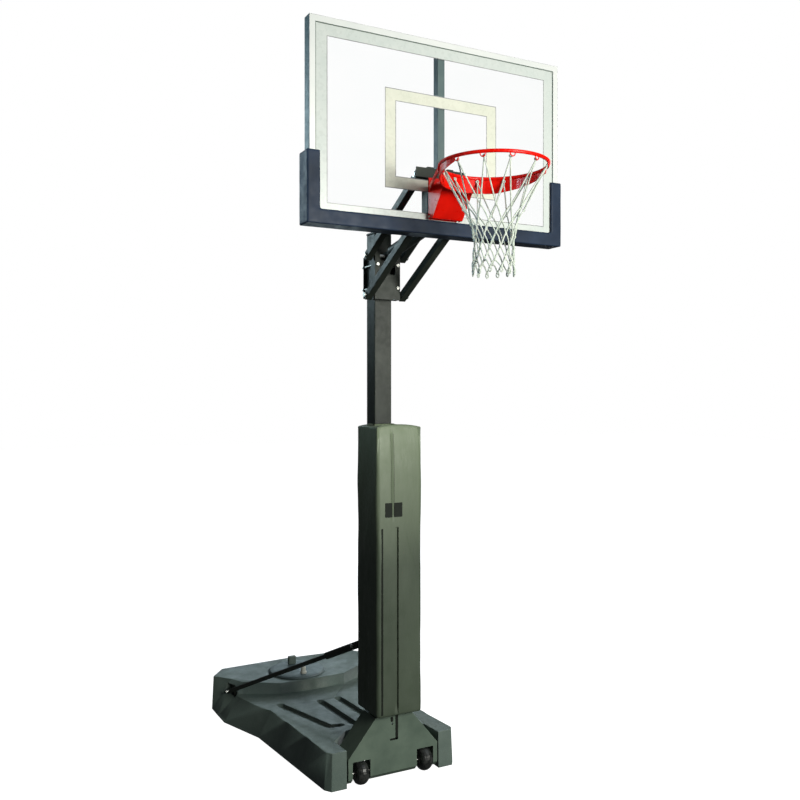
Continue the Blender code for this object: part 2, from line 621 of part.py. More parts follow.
def build_lift_strut():
    """The counterbalance: a tube on the upper rear pin and a rod on the lower front pin."""
    run = STRUT_VECTOR.normalized()
    start = UPPER_PIVOT + run * STRUT_TUBE_START
    tube = cylinder("lift_strut_tube", start, UPPER_PIVOT + run * STRUT_TUBE_END, STRUT_TUBE_RADIUS,
                    BLACK_STEEL, 28)
    core = cylinder("lift_strut_core_cut", start + run * 0.006, UPPER_PIVOT + run * (STRUT_TUBE_END + 0.1),
                    STRUT_TUBE_RADIUS - 0.0025, None, 28, cutters)
    lug = box("lift_strut_lug", (-0.0090, -0.0180, -0.0180), (0.0090, 0.0180, STRUT_TUBE_START + 0.002),
              None, 0.0, cutters)
    lug.data.transform(Matrix.Translation((0, 0, (STRUT_TUBE_START - 0.016) / 2)))
    lug.location = UPPER_PIVOT
    lug.rotation_euler = along(run)
    cut(tube, core)
    join(tube, lug)
    cut(tube, bore("lift_strut_lug_hole", UPPER_PIVOT - Vector((0.05, 0, 0)), UPPER_PIVOT + Vector((0.05, 0, 0)),
                   BORE_RADIUS))
    rod = cylinder("lift_strut_rod", LOWER_FRONT - run * 0.020, LOWER_FRONT - run * STRUT_ROD_LENGTH,
                   STRUT_ROD_RADIUS, ZINC, 20)
    eye = cylinder("lift_strut_eye", LOWER_FRONT - Vector((0.009, 0, 0)), LOWER_FRONT + Vector((0.009, 0, 0)),
                   0.021, None, 24, cutters)
    join(rod, eye)
    cut(rod, bore("lift_strut_eye_hole", LOWER_FRONT - Vector((0.05, 0, 0)), LOWER_FRONT + Vector((0.05, 0, 0)),
                  BORE_RADIUS))


def build_lift():
    build_arm_bracket()
    for word, side in SIDES:
        build_arm("upper_arm_" + word, UPPER_PIVOT, side)
        build_arm("lower_arm_" + word, LOWER_PIVOT, side)
    reach = ARM_X + ARM_SIZE / 2 + 0.002
    build_pin("upper_rear_pin", UPPER_PIVOT, reach)
    build_pin("lower_rear_pin", LOWER_PIVOT, reach)
    build_pin("upper_front_pin", UPPER_FRONT, reach)
    build_pin("lower_front_pin", LOWER_FRONT, reach)
    build_lift_strut()


# ---- carriage and backboard ---------------------------------------------------------------
CROSS_FRONT = GLASS_BACK + GAP
CROSS_THICK = 0.005
UPRIGHT_FRONT = CROSS_FRONT + CROSS_THICK + GAP
UPRIGHT_X = 0.055
UPRIGHT_HALF = 0.0175
UPRIGHT_BACK = -0.608
MOUNT_HALF = 0.078
MOUNT_LOW = 2.876
MOUNT_HIGH = 3.074
RIM_BOLT_X = 0.055
RIM_BOLT_Z = 3.000


def build_carriage():
    low, high = 2.853, 3.132
    for word, side in SIDES:
        x = side * UPRIGHT_X
        upright = box("carriage_upright_" + word, (x - UPRIGHT_HALF, UPRIGHT_FRONT, low),
                      (x + UPRIGHT_HALF, UPRIGHT_BACK, high), BLACK_STEEL, bevel=0.002)
        core = box("upright_core_cut_" + word, (x - UPRIGHT_HALF + 0.003, UPRIGHT_FRONT + 0.003, low - 0.1),
                   (x + UPRIGHT_HALF - 0.003, UPRIGHT_BACK - 0.003, high + 0.1), None, 0.0, cutters)
        cut(upright, core)
        for level, point in (("lower", LOWER_FRONT), ("upper", UPPER_FRONT)):
            cut(upright, bore("upright_%s_hole_%s" % (level, word), (x - 0.05, point.y, point.z),
                              (x + 0.05, point.y, point.z), BORE_RADIUS))
        cut(upright, bore("upright_bolt_hole_" + word, (side * RIM_BOLT_X, -0.9, RIM_BOLT_Z),
                          (side * RIM_BOLT_X, -0.64, RIM_BOLT_Z), 0.0056, 16))
    for name, bottom, top, half in (("cross_bracket_upper", 3.078, 3.124, 0.137),
                                    ("cross_bracket_lower", 2.860, 2.906, 0.137)):
        box(name, (-half, CROSS_FRONT, bottom), (half, CROSS_FRONT + CROSS_THICK, top), BLACK_STEEL)
    box("centre_strut", (-0.019, CROSS_FRONT, 3.1245), (0.019,
        BOARD_FACE + FRAME_DEPTH - 0.001, BOARD_TOP - FRAME_WALL - GAP), BLACK_STEEL, bevel=0.002)


def build_board():
    half = BOARD_WIDTH / 2
    back = BOARD_FACE + FRAME_DEPTH
    frame = box("board_frame", (-half, BOARD_FACE, BOARD_BOTTOM), (half, back, BOARD_TOP),
                ALUMINIUM, bevel=0.003)
    window = box("frame_window_cut", (-half + FRAME_BAR, -1.0, BOARD_BOTTOM + FRAME_BAR),
                 (half - FRAME_BAR, 0.0, BOARD_TOP - FRAME_BAR), None, 0.0, cutters)
    rebate = box("frame_rebate_cut",
                 (-half + FRAME_WALL, BOARD_FACE + FRAME_WALL, BOARD_BOTTOM + FRAME_WALL),
                 (half - FRAME_WALL, 0.0, BOARD_TOP - FRAME_WALL), None, 0.0, cutters)
    cut(frame, window, rebate)
    edge = FRAME_WALL + 0.002
    glass = box("backboard", (-half + edge, GLASS_FRONT, BOARD_BOTTOM + edge),
                (half - edge, GLASS_BACK, BOARD_TOP - edge), GLASS)
    for word, side in SIDES:
        cut(glass, bore("glass_hole_" + word, (side * RIM_BOLT_X, -0.9, RIM_BOLT_Z),
                        (side * RIM_BOLT_X, -0.5, RIM_BOLT_Z), 0.0060, 16))


PAD_OUT = 0.700
PAD_FACE_Y = -0.700
PAD_REAR_Y = -0.597
PAD_LOW = 2.805
PAD_RAIL_TOP = 2.872
PAD_UPRIGHT_TOP = 3.132
PAD_IN = 0.637


def build_board_pad():
    """The edge pad along the bottom and up both lower corners of the board, in one piece."""
    half = [(PAD_OUT, PAD_LOW), (PAD_OUT, PAD_UPRIGHT_TOP), (PAD_IN, PAD_UPRIGHT_TOP), (PAD_IN, PAD_RAIL_TOP)]
    outline = half + [(-x, z) for x, z in reversed(half)]
    pad = front_prism("board_pad", outline, PAD_REAR_Y, PAD_FACE_Y, NAVY_PAD, bevel=0.003)
    clear = 0.0006
    half_width = BOARD_WIDTH / 2 + clear
    channel = box("pad_frame_cut", (-half_width, BOARD_FACE - clear, BOARD_BOTTOM - clear),
                  (half_width, -0.500, 3.300), None, 0.0, cutters)
    cut(pad, channel)


# ---- rim and net --------------------------------------------------------------------------
UNDER_RING = RIM_HEIGHT - 2 * RING_ROD - GAP
BAND_THICK = 0.005
HOUSING_HALF = 0.083
HOUSING_BACK = -0.700
HOUSING_LOW = 2.874
HOUSING_FACE_TOP = 3.022
HOUSING_FRONT_LOW = -0.731
HOUSING_FRONT_TOP = -0.8455
HOUSING_LIP = RING_Y + RING_RADIUS + BAND_THICK / 2 + GAP
HOUSING_WALL = 0.005
MOUNT_FRONT = GLASS_FRONT - GAP - 0.006


def build_rim_mount():
    mount = box("rim_mount_plate", (-MOUNT_HALF, MOUNT_FRONT, MOUNT_LOW),
                (MOUNT_HALF, GLASS_FRONT - GAP, MOUNT_HIGH), RIM_RED)
    for word, side in SIDES:
        x = side * RIM_BOLT_X
        cut(mount, bore("mount_hole_" + word, (x, -0.9, RIM_BOLT_Z), (x, -0.5, RIM_BOLT_Z), 0.0054, 16))
        bolt("rim_bolt_" + word, (x, MOUNT_FRONT - GAP, RIM_BOLT_Z), (x, -0.6500, RIM_BOLT_Z), 0.0048,
             head_radius=0.0090, head_height=0.005)
        low_x, high_x = sorted((side * 0.071, side * 0.077))
        ear = box("hinge_ear_" + word, (low_x, HINGE_Y - 0.0075, HINGE_Z - 0.0075),
                  (high_x, MOUNT_FRONT + 0.001, HINGE_Z + 0.030), None, 0.0, cutters)
        join(mount, ear)
    cut(mount, bore("mount_hinge_hole", (-0.2, HINGE_Y, HINGE_Z), (0.2, HINGE_Y, HINGE_Z), 0.0048))
    cylinder("rim_hinge_pin", (-0.0870, HINGE_Y, HINGE_Z), (0.0870, HINGE_Y, HINGE_Z), 0.0042, ZINC)


def build_rim_housing():
    """The wedge under the ring: a sloping front, a top that runs out to the ring, and two cheeks."""
    outline = [(HOUSING_BACK, UNDER_RING), (HOUSING_LIP, UNDER_RING), (HOUSING_LIP, HOUSING_FACE_TOP),
               (HOUSING_FRONT_TOP, HOUSING_FACE_TOP), (HOUSING_FRONT_LOW, HOUSING_LOW),
               (HOUSING_BACK, HOUSING_LOW)]
    housing = side_prism("rim_housing", outline, -HOUSING_HALF, HOUSING_HALF, RIM_RED)
    wall = HOUSING_WALL
    core = [(HOUSING_BACK + 0.05, UNDER_RING - wall), (HOUSING_FRONT_TOP + 0.0035, UNDER_RING - wall),
            (HOUSING_FRONT_LOW + 0.014, HOUSING_LOW - 0.010), (HOUSING_BACK + 0.05, HOUSING_LOW - 0.010)]
    inside = HOUSING_HALF - wall
    cut(housing, side_prism("housing_core_cut", core, -inside, inside, None, 0.0, cutters),
        bore("housing_hinge_hole", (-0.2, HINGE_Y, HINGE_Z), (0.2, HINGE_Y, HINGE_Z), 0.0048))


def build_ring():
    bpy.ops.mesh.primitive_torus_add(major_segments=72, minor_segments=12, major_radius=RING_RADIUS,
                                     minor_radius=RING_ROD)
    ring = bpy.context.active_object
    ring.location = (0.0, RING_Y, RIM_HEIGHT - RING_ROD)
    settle(ring, "rim_ring", RIM_RED)
    smooth(ring, 60)


BAND_DEPTHS = [(0, 0.062), (35, 0.061), (60, 0.046), (90, 0.026), (102, 0.014)]
BAND_STEP = 6
BRACE_DEPTH = 0.026
BRACE_HEEL = Vector((HOUSING_HALF + 0.0035, -0.712))


def band_depth(angle):
    """How deep the band under the ring is, by its angle in degrees around from the board's side."""
    for (start, deep), (end, shallow) in zip(BAND_DEPTHS, BAND_DEPTHS[1:]):
        if angle <= end:
            return deep + (shallow - deep) * (angle - start) / (end - start)
    return BAND_DEPTHS[-1][1]


def upright_strip(name, plan, depths):
    """A thin steel strip on edge under the ring, along a line of (x, y) points."""
    work = bmesh.new()
    upper = [work.verts.new((x, y, UNDER_RING)) for x, y in plan]
    lower = [work.verts.new((x, y, UNDER_RING - depth)) for (x, y), depth in zip(plan, depths)]
    for i in range(len(plan) - 1):
        work.faces.new((upper[i], lower[i], lower[i + 1], upper[i + 1]))
    mesh = bpy.data.meshes.new(name)
    work.to_mesh(mesh)
    work.free()
    strip = settle(bpy.data.objects.new(name, mesh), name, RIM_RED)
    shell = strip.modifiers.new("thickness", 'SOLIDIFY')
    shell.thickness = BAND_THICK
    shell.offset = 0.0
    shell.use_even_offset = True


def build_rim_band():
    """The band that stiffens the back half of the ring, deep at the housing and shallow at its ends."""
    reach = BAND_DEPTHS[-1][0]
    angles = range(-reach, reach + 1, BAND_STEP)
    plan = []
    for angle in angles:
        turn = math.radians(angle)
        plan.append((RING_RADIUS * math.sin(turn), RING_Y + RING_RADIUS * math.cos(turn)))
    upright_strip("rim_band", plan, [band_depth(abs(a)) for a in angles])


def build_rim_braces():
    """Two straight strips from the housing's cheeks to the sides of the band."""
    radius = RING_RADIUS + BAND_THICK + GAP
    to_centre = Vector((0.0, RING_Y)) - BRACE_HEEL
    reach = math.sqrt(to_centre.length_squared - radius ** 2)
    heading = math.atan2(to_centre.y, to_centre.x) + math.atan2(radius, reach)
    toe = BRACE_HEEL + Vector((math.cos(heading), math.sin(heading))) * reach
    for word, side in SIDES:
        upright_strip("rim_brace_" + word, [(side * BRACE_HEEL.x, BRACE_HEEL.y), (side * toe.x, toe.y)],
                      [BRACE_DEPTH, BRACE_DEPTH - 0.006])


SPRING_TURNS = 6
SPRING_POINTS = 10
SPRING_RADIUS = 0.011
SPRING_WIRE = 0.0018


def build_rim_springs():
    """Two compression springs that hold the ring level against the mounting plate."""
    start, end = -0.7950, -0.7080
    count = SPRING_TURNS * SPRING_POINTS
    for word, side in SIDES:
        curve = bpy.data.curves.new("rim_spring_" + word, 'CURVE')
        curve.dimensions = '3D'
        curve.bevel_depth = SPRING_WIRE
        curve.bevel_resolution = 1
        curve.use_fill_caps = True
        spline = curve.splines.new('POLY')
        spline.points.add(count)
        for i in range(count + 1):
            angle = 2 * math.pi * i / SPRING_POINTS
            across = SPRING_RADIUS * math.cos(angle)
            rise = SPRING_RADIUS * math.sin(angle)
            spline.points[i].co = (side * 0.030 + across, start + (end - start) * i / count, 2.985 + rise, 1.0)
        settle(bpy.data.objects.new("rim_spring_" + word, curve), "rim_spring_" + word, ZINC)


NET_TOP = RIM_HEIGHT - 2 * RING_ROD - 0.006
NET_PROFILE = [(0.228, NET_TOP), (0.205, 2.970), (0.165, 2.890), (0.125, 2.815), (0.105, 2.755),
               (0.100, 2.700), (0.108, 2.630), (0.118, 2.568)]
NET_THICK = 0.006


def build_net():
    """The net as an open funnel of its true outer shape."""
    outer = NET_PROFILE
    inner = [(radius - NET_THICK, height) for radius, height in reversed(NET_PROFILE)]
    turned("net", outer + inner + [outer[0]], (0.0, RING_Y, 0.0), (0, 0, 1), NET_CORD, steps=36)


# ---- assembly -----------------------------------------------------------------------------
def centre_on_footprint():
    for piece in list(parts.objects) + list(cutters.objects):
        piece.location.y += POLE_Y


def build_all():
    build_tank()
    build_tank_lid()
    build_tower()
    build_wheels()
    build_pole()
    build_post_pad()
    build_braces()
    build_lift()
    build_carriage()
    build_board()
    build_board_pad()
    build_rim_mount()
    build_rim_housing()
    build_ring()
    build_rim_band()
    build_rim_braces()
    build_rim_springs()
    build_net()
    centre_on_footprint()


build_all()
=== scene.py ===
"""The looks of the portable basketball hoop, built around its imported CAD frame, in metres."""

import math

import bmesh
import bpy
from mathutils import Matrix, Vector, noise


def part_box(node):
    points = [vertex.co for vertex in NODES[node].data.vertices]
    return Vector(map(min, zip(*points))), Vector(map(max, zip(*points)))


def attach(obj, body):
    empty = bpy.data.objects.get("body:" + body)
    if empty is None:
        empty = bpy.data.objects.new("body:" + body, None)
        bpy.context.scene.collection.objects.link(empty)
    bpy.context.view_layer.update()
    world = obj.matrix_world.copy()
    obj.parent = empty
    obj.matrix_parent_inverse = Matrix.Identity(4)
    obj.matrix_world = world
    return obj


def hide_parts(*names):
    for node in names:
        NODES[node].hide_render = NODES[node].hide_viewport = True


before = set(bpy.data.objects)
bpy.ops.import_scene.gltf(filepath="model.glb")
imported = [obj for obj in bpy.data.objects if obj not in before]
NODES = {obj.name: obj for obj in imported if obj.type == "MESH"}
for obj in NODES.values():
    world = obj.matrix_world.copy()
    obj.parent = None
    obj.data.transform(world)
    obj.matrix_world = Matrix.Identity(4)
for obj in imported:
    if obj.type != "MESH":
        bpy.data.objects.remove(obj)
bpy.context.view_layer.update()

POLE_Y = (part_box("pole")[0][1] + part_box("pole")[1][1]) / 2
RING_LOW, RING_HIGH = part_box("rim_ring")
RING_CENTRE = (Vector(RING_LOW) + Vector(RING_HIGH)) / 2


# ---- node helpers -------------------------------------------------------------------------
class Surface:
    """A Principled material with short calls for the textures that all the materials share."""

    def __init__(self, name, colour, roughness, metallic=0.0):
        self.material = bpy.data.materials.new(name)
        self.material.use_nodes = True
        self.tree = self.material.node_tree
        self.shader = self.tree.nodes["Principled BSDF"]
        self.output = self.tree.nodes["Material Output"]
        self.shader.inputs["Base Color"].default_value = (*colour, 1.0)
        self.shader.inputs["Roughness"].default_value = roughness
        self.shader.inputs["Metallic"].default_value = metallic
        self.normal = None
        self.coordinates = self.tree.nodes.new("ShaderNodeTexCoord").outputs["Object"]

    def node(self, kind, settings=None, **inputs):
        """A new node. Each input is a number or another node's socket."""
        made = self.tree.nodes.new(kind)
        for key, value in (settings or {}).items():
            setattr(made, key, value)
        for key, value in inputs.items():
            socket = made.inputs[key.replace("_", " ")]
            if isinstance(value, bpy.types.NodeSocket):
                self.tree.links.new(value, socket)
            else:
                socket.default_value = value
        return made

    def link(self, source, target):
        self.tree.links.new(source, target)

    def stretched(self, scale):
        return self.node("ShaderNodeMapping", Vector=self.coordinates, Scale=scale).outputs["Vector"]

    def noise(self, scale, detail=4.0, roughness=0.55, vector=None):
        vector = vector or self.coordinates
        return self.node("ShaderNodeTexNoise", Vector=vector, Scale=scale, Detail=detail,
                         Roughness=roughness).outputs["Fac"]

    def cells(self, scale):
        return self.node("ShaderNodeTexVoronoi", Vector=self.coordinates, Scale=scale).outputs["Distance"]

    def ramp(self, factor, stops):
        """A colour ramp with stops given as (position, colour)."""
        ramp = self.node("ShaderNodeValToRGB", Fac=factor)
        points = ramp.color_ramp.elements
        while len(points) < len(stops):
            points.new(0.5)
        for point, (position, colour) in zip(points, stops):
            point.position = position
            point.color = (*colour, 1.0)
        return ramp.outputs["Color"]

    def math(self, operation, first, second=0.0, clamp=False):
        made = self.tree.nodes.new("ShaderNodeMath")
        made.operation = operation
        made.use_clamp = clamp
        for socket, value in zip(made.inputs, (first, second)):
            if isinstance(value, bpy.types.NodeSocket):
                self.tree.links.new(value, socket)
            else:
                socket.default_value = value
        return made.outputs["Value"]

    def range(self, value, low, high, out_low, out_high):
        """Map low..high to out_low..out_high."""
        return self.node("ShaderNodeMapRange", Value=value, From_Min=low, From_Max=high,
                         To_Min=out_low, To_Max=out_high).outputs["Result"]

    def mix(self, factor, first, second):
        """Blend two colours, each a tuple or a socket."""
        made = self.node("ShaderNodeMix", {"data_type": 'RGBA'})
        for index, value in ((0, factor), (6, first), (7, second)):
            if isinstance(value, bpy.types.NodeSocket):
                self.tree.links.new(value, made.inputs[index])
            elif index:
                made.inputs[index].default_value = (*value, 1.0)
            else:
                made.inputs[index].default_value = value
        return made.outputs[2]

    def colour(self, socket):
        self.link(socket, self.shader.inputs["Base Color"])

    def roughness(self, socket):
        self.link(socket, self.shader.inputs["Roughness"])

    def bump(self, height, strength, distance):
        """Add a bump over the surface's earlier bumps and soft edges."""
        made = self.node("ShaderNodeBump", Height=height, Strength=strength, Distance=distance)
        if self.normal:
            self.link(self.normal, made.inputs["Normal"])
        self.normal = made.outputs["Normal"]
        self.link(self.normal, self.shader.inputs["Normal"])

    def soft_edges(self, radius):
        """Shade the edges as if they were rounded."""
        self.normal = self.node("ShaderNodeBevel", {"samples": 4}, Radius=radius).outputs["Normal"]
        self.link(self.normal, self.shader.inputs["Normal"])

    def edge_mask(self, radius, gain=3.0):
        """1 on edges, where rubbed wear and a painted highlight go, and 0 on flat faces."""
        bevel = self.node("ShaderNodeBevel", {"samples": 4}, Radius=radius).outputs["Normal"]
        face = self.node("ShaderNodeNewGeometry").outputs["Normal"]
        dot = self.tree.nodes.new("ShaderNodeVectorMath")
        dot.operation = 'DOT_PRODUCT'
        self.link(bevel, dot.inputs[0])
        self.link(face, dot.inputs[1])
        return self.math('MULTIPLY', self.math('SUBTRACT', 1.0, dot.outputs["Value"]), gain, clamp=True)


# ---- materials ----------------------------------------------------------------------------
def painted_steel(name, dark, light, roughness=0.40):
    """Powder-coated steel: a faint orange peel, mottled gloss and edges lightened by slight rubbed wear and
    a painted highlight.
    """
    made = Surface(name, dark, roughness)
    made.soft_edges(0.0016)
    cloud = made.noise(7.0, 5.0, 0.6)
    tint = made.ramp(cloud, [(0.35, dark), (0.70, light)])
    # Lighter patches on the edges: rubbed wear and a painted highlight.
    wear_and_edge_highlight = made.math('MULTIPLY', made.edge_mask(0.0022), made.noise(60.0, 3.0))
    made.colour(made.mix(wear_and_edge_highlight, tint, tuple(min(1.0, c * 3.0 + 0.02) for c in light)))
    made.roughness(made.range(made.noise(35.0, 3.0), 0.3, 0.7, roughness - 0.06, roughness + 0.10))
    made.bump(made.noise(620.0, 2.0), 0.10, 0.0005)
    made.shader.inputs["Specular IOR Level"].default_value = 0.20
    made.shader.inputs["Coat Weight"].default_value = 0.02
    made.shader.inputs["Coat Roughness"].default_value = 0.25
    return made.material


def moulded_plastic(name, dark, light, roughness=0.55):
    """Blow-moulded plastic with a fine leather grain, dust on it and pale edges from rubbed wear and a
    painted highlight.
    """
    made = Surface(name, dark, roughness)
    made.soft_edges(0.008)
    tint = made.ramp(made.noise(3.2, 6.0, 0.62), [(0.32, dark), (0.68, light)])
    speck = made.range(made.noise(180.0, 2.0, 0.7), 0.52, 0.75, 0.0, 0.30)
    dusty = made.mix(speck, tint, tuple(min(1.0, c * 1.9 + 0.01) for c in light))
    # Pale patches on the edges: rubbed wear and a painted highlight.
    wear_and_edge_highlight = made.math('MULTIPLY', made.edge_mask(0.006, 2.0), made.noise(40.0, 3.0))
    made.colour(made.mix(wear_and_edge_highlight, dusty, tuple(min(1.0, c * 2.2 + 0.02) for c in light)))
    made.roughness(made.range(made.noise(22.0, 4.0), 0.3, 0.7, roughness - 0.08, roughness + 0.10))
    made.bump(made.noise(5.0, 3.0), 0.25, 0.010)
    made.bump(made.cells(420.0), 0.18, 0.0008)
    return made.material


def zinc_plate(name):
    made = Surface(name, (0.58, 0.58, 0.55), 0.32, 1.0)
    made.soft_edges(0.0007)
    made.colour(made.ramp(made.noise(90.0, 4.0), [(0.30, (0.40, 0.40, 0.38)), (0.65, (0.74, 0.74, 0.70))]))
    made.roughness(made.range(made.noise(140.0, 3.0), 0.3, 0.7, 0.24, 0.46))
    made.bump(made.noise(700.0, 2.0), 0.10, 0.0003)
    return made.material


def rim_paint(name):
    """Bright red enamel over formed steel."""
    made = Surface(name, (0.58, 0.008, 0.004), 0.30)
    made.soft_edges(0.0016)
    tint = made.ramp(made.noise(9.0, 4.0), [(0.30, (0.66, 0.004, 0.001)), (0.70, (0.82, 0.009, 0.003))])
    # Paler patches on the edges: rubbed wear and a painted highlight.
    patchy = made.range(made.noise(70.0, 3.0), 0.5, 0.7, 0.0, 0.6)
    wear_and_edge_highlight = made.math('MULTIPLY', made.edge_mask(0.002, 2.0), patchy)
    made.colour(made.mix(wear_and_edge_highlight, tint, (0.75, 0.06, 0.03)))
    made.roughness(made.range(made.noise(30.0, 3.0), 0.3, 0.7, 0.24, 0.38))
    made.bump(made.noise(520.0, 2.0), 0.08, 0.0005)
    made.shader.inputs["Specular IOR Level"].default_value = 0.14
    made.shader.inputs["Coat Weight"].default_value = 0.05
    made.shader.inputs["Coat Roughness"].default_value = 0.12
    return made.material


def satin_aluminium(name):
    """Pale extruded aluminium with fine lines along the bars."""
    made = Surface(name, (0.74, 0.76, 0.75), 0.50, 0.10)
    made.soft_edges(0.0014)
    lines = made.noise(60.0, 3.0, 0.6, made.stretched((1.0, 22.0, 22.0)))
    cloud = made.noise(5.0, 4.0)
    tint = made.ramp(cloud, [(0.3, (0.68, 0.71, 0.70)), (0.7, (0.77, 0.78, 0.77))])
    made.colour(made.mix(made.range(lines, 0.4, 0.7, 0.0, 0.20), tint, (0.58, 0.62, 0.62)))
    made.roughness(made.range(lines, 0.3, 0.7, 0.30, 0.48))
    made.bump(lines, 0.05, 0.0003)
    return made.material


def pad_vinyl(name, dark, light, top_highlight, shine=0.35):
    """Coated vinyl: a fine weave, broad creases, uneven gloss, and a painted highlight that lightens the
    skin towards the top.
    """
    made = Surface(name, dark, 0.48)
    streaks = made.noise(4.0, 6.0, 0.6, made.stretched((1.0, 1.0, 0.35)))
    tint = made.ramp(streaks, [(0.30, dark), (0.72, light)])
    height = made.node("ShaderNodeSeparateXYZ", Vector=made.coordinates).outputs["Z"]
    # Painted highlight: the skin grows lighter from about 1.25 m up to 2.1 m.
    wander = made.math('ADD', height, made.math('MULTIPLY', made.noise(2.5, 4.0), 0.25))
    made.colour(made.mix(made.range(wander, 1.25, 2.10, 0.0, 1.0), tint, top_highlight))
    made.roughness(made.range(made.noise(12.0, 5.0), 0.3, 0.7, 0.40, 0.62))
    across, along = (made.node("ShaderNodeTexWave", {"bands_direction": direction}, Vector=made.coordinates,
                               Scale=260.0).outputs["Fac"] for direction in ('X', 'Z'))
    weave = made.math('MULTIPLY', across, along)
    made.bump(made.noise(16.0, 5.0, 0.6, made.stretched((2.2, 2.2, 0.5))), 0.30, 0.006)
    made.bump(weave, 0.12, 0.0004)
    made.shader.inputs["Specular IOR Level"].default_value = shine
    return made.material


def pad_foam(name, dark, light):
    """Navy integral-skin foam with a pebbled skin."""
    made = Surface(name, dark, 0.50)
    made.colour(made.ramp(made.noise(6.0, 5.0), [(0.30, dark), (0.70, light)]))
    made.roughness(made.range(made.noise(20.0, 4.0), 0.3, 0.7, 0.42, 0.60))
    made.bump(made.noise(14.0, 3.0), 0.20, 0.004)
    made.bump(made.cells(520.0), 0.20, 0.0006)
    made.shader.inputs["Specular IOR Level"].default_value = 0.18
    return made.material


def tyre_rubber(name):
    made = Surface(name, (0.012, 0.013, 0.013), 0.28)
    scuffs = made.noise(30.0, 5.0)
    made.colour(made.ramp(scuffs, [(0.35, (0.010, 0.011, 0.011)), (0.75, (0.040, 0.042, 0.040))]))
    made.roughness(made.range(made.noise(60.0, 4.0), 0.3, 0.7, 0.20, 0.42))
    made.bump(made.noise(300.0, 3.0), 0.12, 0.0006)
    return made.material


def net_cord(name):
    """White braided nylon: a fine slanted braid, with painted shade greying its hollows."""
    made = Surface(name, (0.60, 0.64, 0.58), 0.75)
    braid = made.node("ShaderNodeTexWave", {"bands_direction": 'DIAGONAL'}, Vector=made.coordinates,
                      Scale=150.0, Distortion=1.5, Detail=2.0).outputs["Fac"]
    cloud = made.noise(25.0, 4.0)
    tint = made.ramp(cloud, [(0.30, (0.46, 0.53, 0.45)), (0.70, (0.72, 0.76, 0.68))])
    # Painted shade: the braid's hollows are mixed towards grey.
    made.colour(made.mix(made.range(braid, 0.0, 1.0, 0.35, 0.0), tint, (0.30, 0.36, 0.31)))
    made.bump(braid, 0.5, 0.0012)
    made.shader.inputs["Sheen Weight"].default_value = 0.2
    return made.material


def board_paint(name, colour, shade):
    """Screen-printed paint on glass, very slightly uneven."""
    made = Surface(name, colour, 0.30)
    made.colour(made.ramp(made.noise(14.0, 4.0), [(0.30, shade), (0.65, colour)]))
    made.roughness(made.range(made.noise(40.0, 3.0), 0.3, 0.7, 0.22, 0.36))
    made.bump(made.noise(400.0, 2.0), 0.04, 0.0002)
    return made.material


def clear_glass(name):
    """Tempered glass seen as a thin clear sheet with faint smears."""
    made = Surface(name, (0.93, 0.97, 0.96), 0.03)
    reflected_share = 0.12
    smear = made.noise(3.0, 6.0, 0.65, made.stretched((1.0, 1.0, 2.5)))
    clear = made.node("ShaderNodeBsdfTransparent")
    tint = made.ramp(smear, [(0.30, (0.985, 0.992, 0.990)), (0.75, (0.998, 1.0, 0.999))])
    made.link(tint, clear.inputs["Color"])
    gloss = made.node("ShaderNodeBsdfGlossy")
    made.link(made.range(smear, 0.35, 0.75, 0.02, 0.09), gloss.inputs["Roughness"])
    edge = made.node("ShaderNodeFresnel", IOR=1.45)
    blend = made.node("ShaderNodeMixShader")
    made.link(made.math('MULTIPLY', edge.outputs["Fac"], reflected_share), blend.inputs["Fac"])
    made.link(clear.outputs["BSDF"], blend.inputs[1])
    made.link(gloss.outputs["BSDF"], blend.inputs[2])
    made.link(blend.outputs["Shader"], made.output.inputs["Surface"])
    return made.material


def pale_floor(name):
    """A floor bright enough to meet the white background without an edge."""
    made = Surface(name, (0.42, 0.42, 0.42), 0.80)
    made.colour(made.ramp(made.noise(1.5, 3.0), [(0.3, (0.41, 0.41, 0.41)), (0.7, (0.43, 0.43, 0.43))]))
    made.shader.inputs["Emission Color"].default_value = (1.0, 1.0, 1.0, 1.0)
    made.shader.inputs["Emission Strength"].default_value = 1.0
    return made.material


STEEL = painted_steel("black_powder_coat", (0.015, 0.019, 0.016), (0.030, 0.037, 0.029))
# The frame's sides are a darker teal-grey than its pale front strip: painted shade and a bluish painted
# reflection on one pale frame.
FRAME_SIDE_SHADE = painted_steel("frame_side_painted_shade", (0.095, 0.140, 0.142), (0.125, 0.175, 0.176), 0.42)
# The strut behind the glass is lighter than the other black steel: a painted reflection of the glass.
STRUT_GLASS_REFLECTION = painted_steel("strut_painted_reflection", (0.085, 0.125, 0.130), (0.120, 0.165, 0.165), 0.42)
TOWER_STEEL = painted_steel("tower_powder_coat", (0.080, 0.112, 0.088), (0.118, 0.158, 0.124), 0.55)
TANK = moulded_plastic("tank_plastic_grain", (0.072, 0.103, 0.090), (0.112, 0.148, 0.128))
LID = moulded_plastic("lid_plastic_grain", (0.075, 0.110, 0.115), (0.120, 0.160, 0.165))
ZINC = zinc_plate("zinc_plate")
RED = rim_paint("rim_enamel")
ALUMINIUM = satin_aluminium("satin_aluminium")
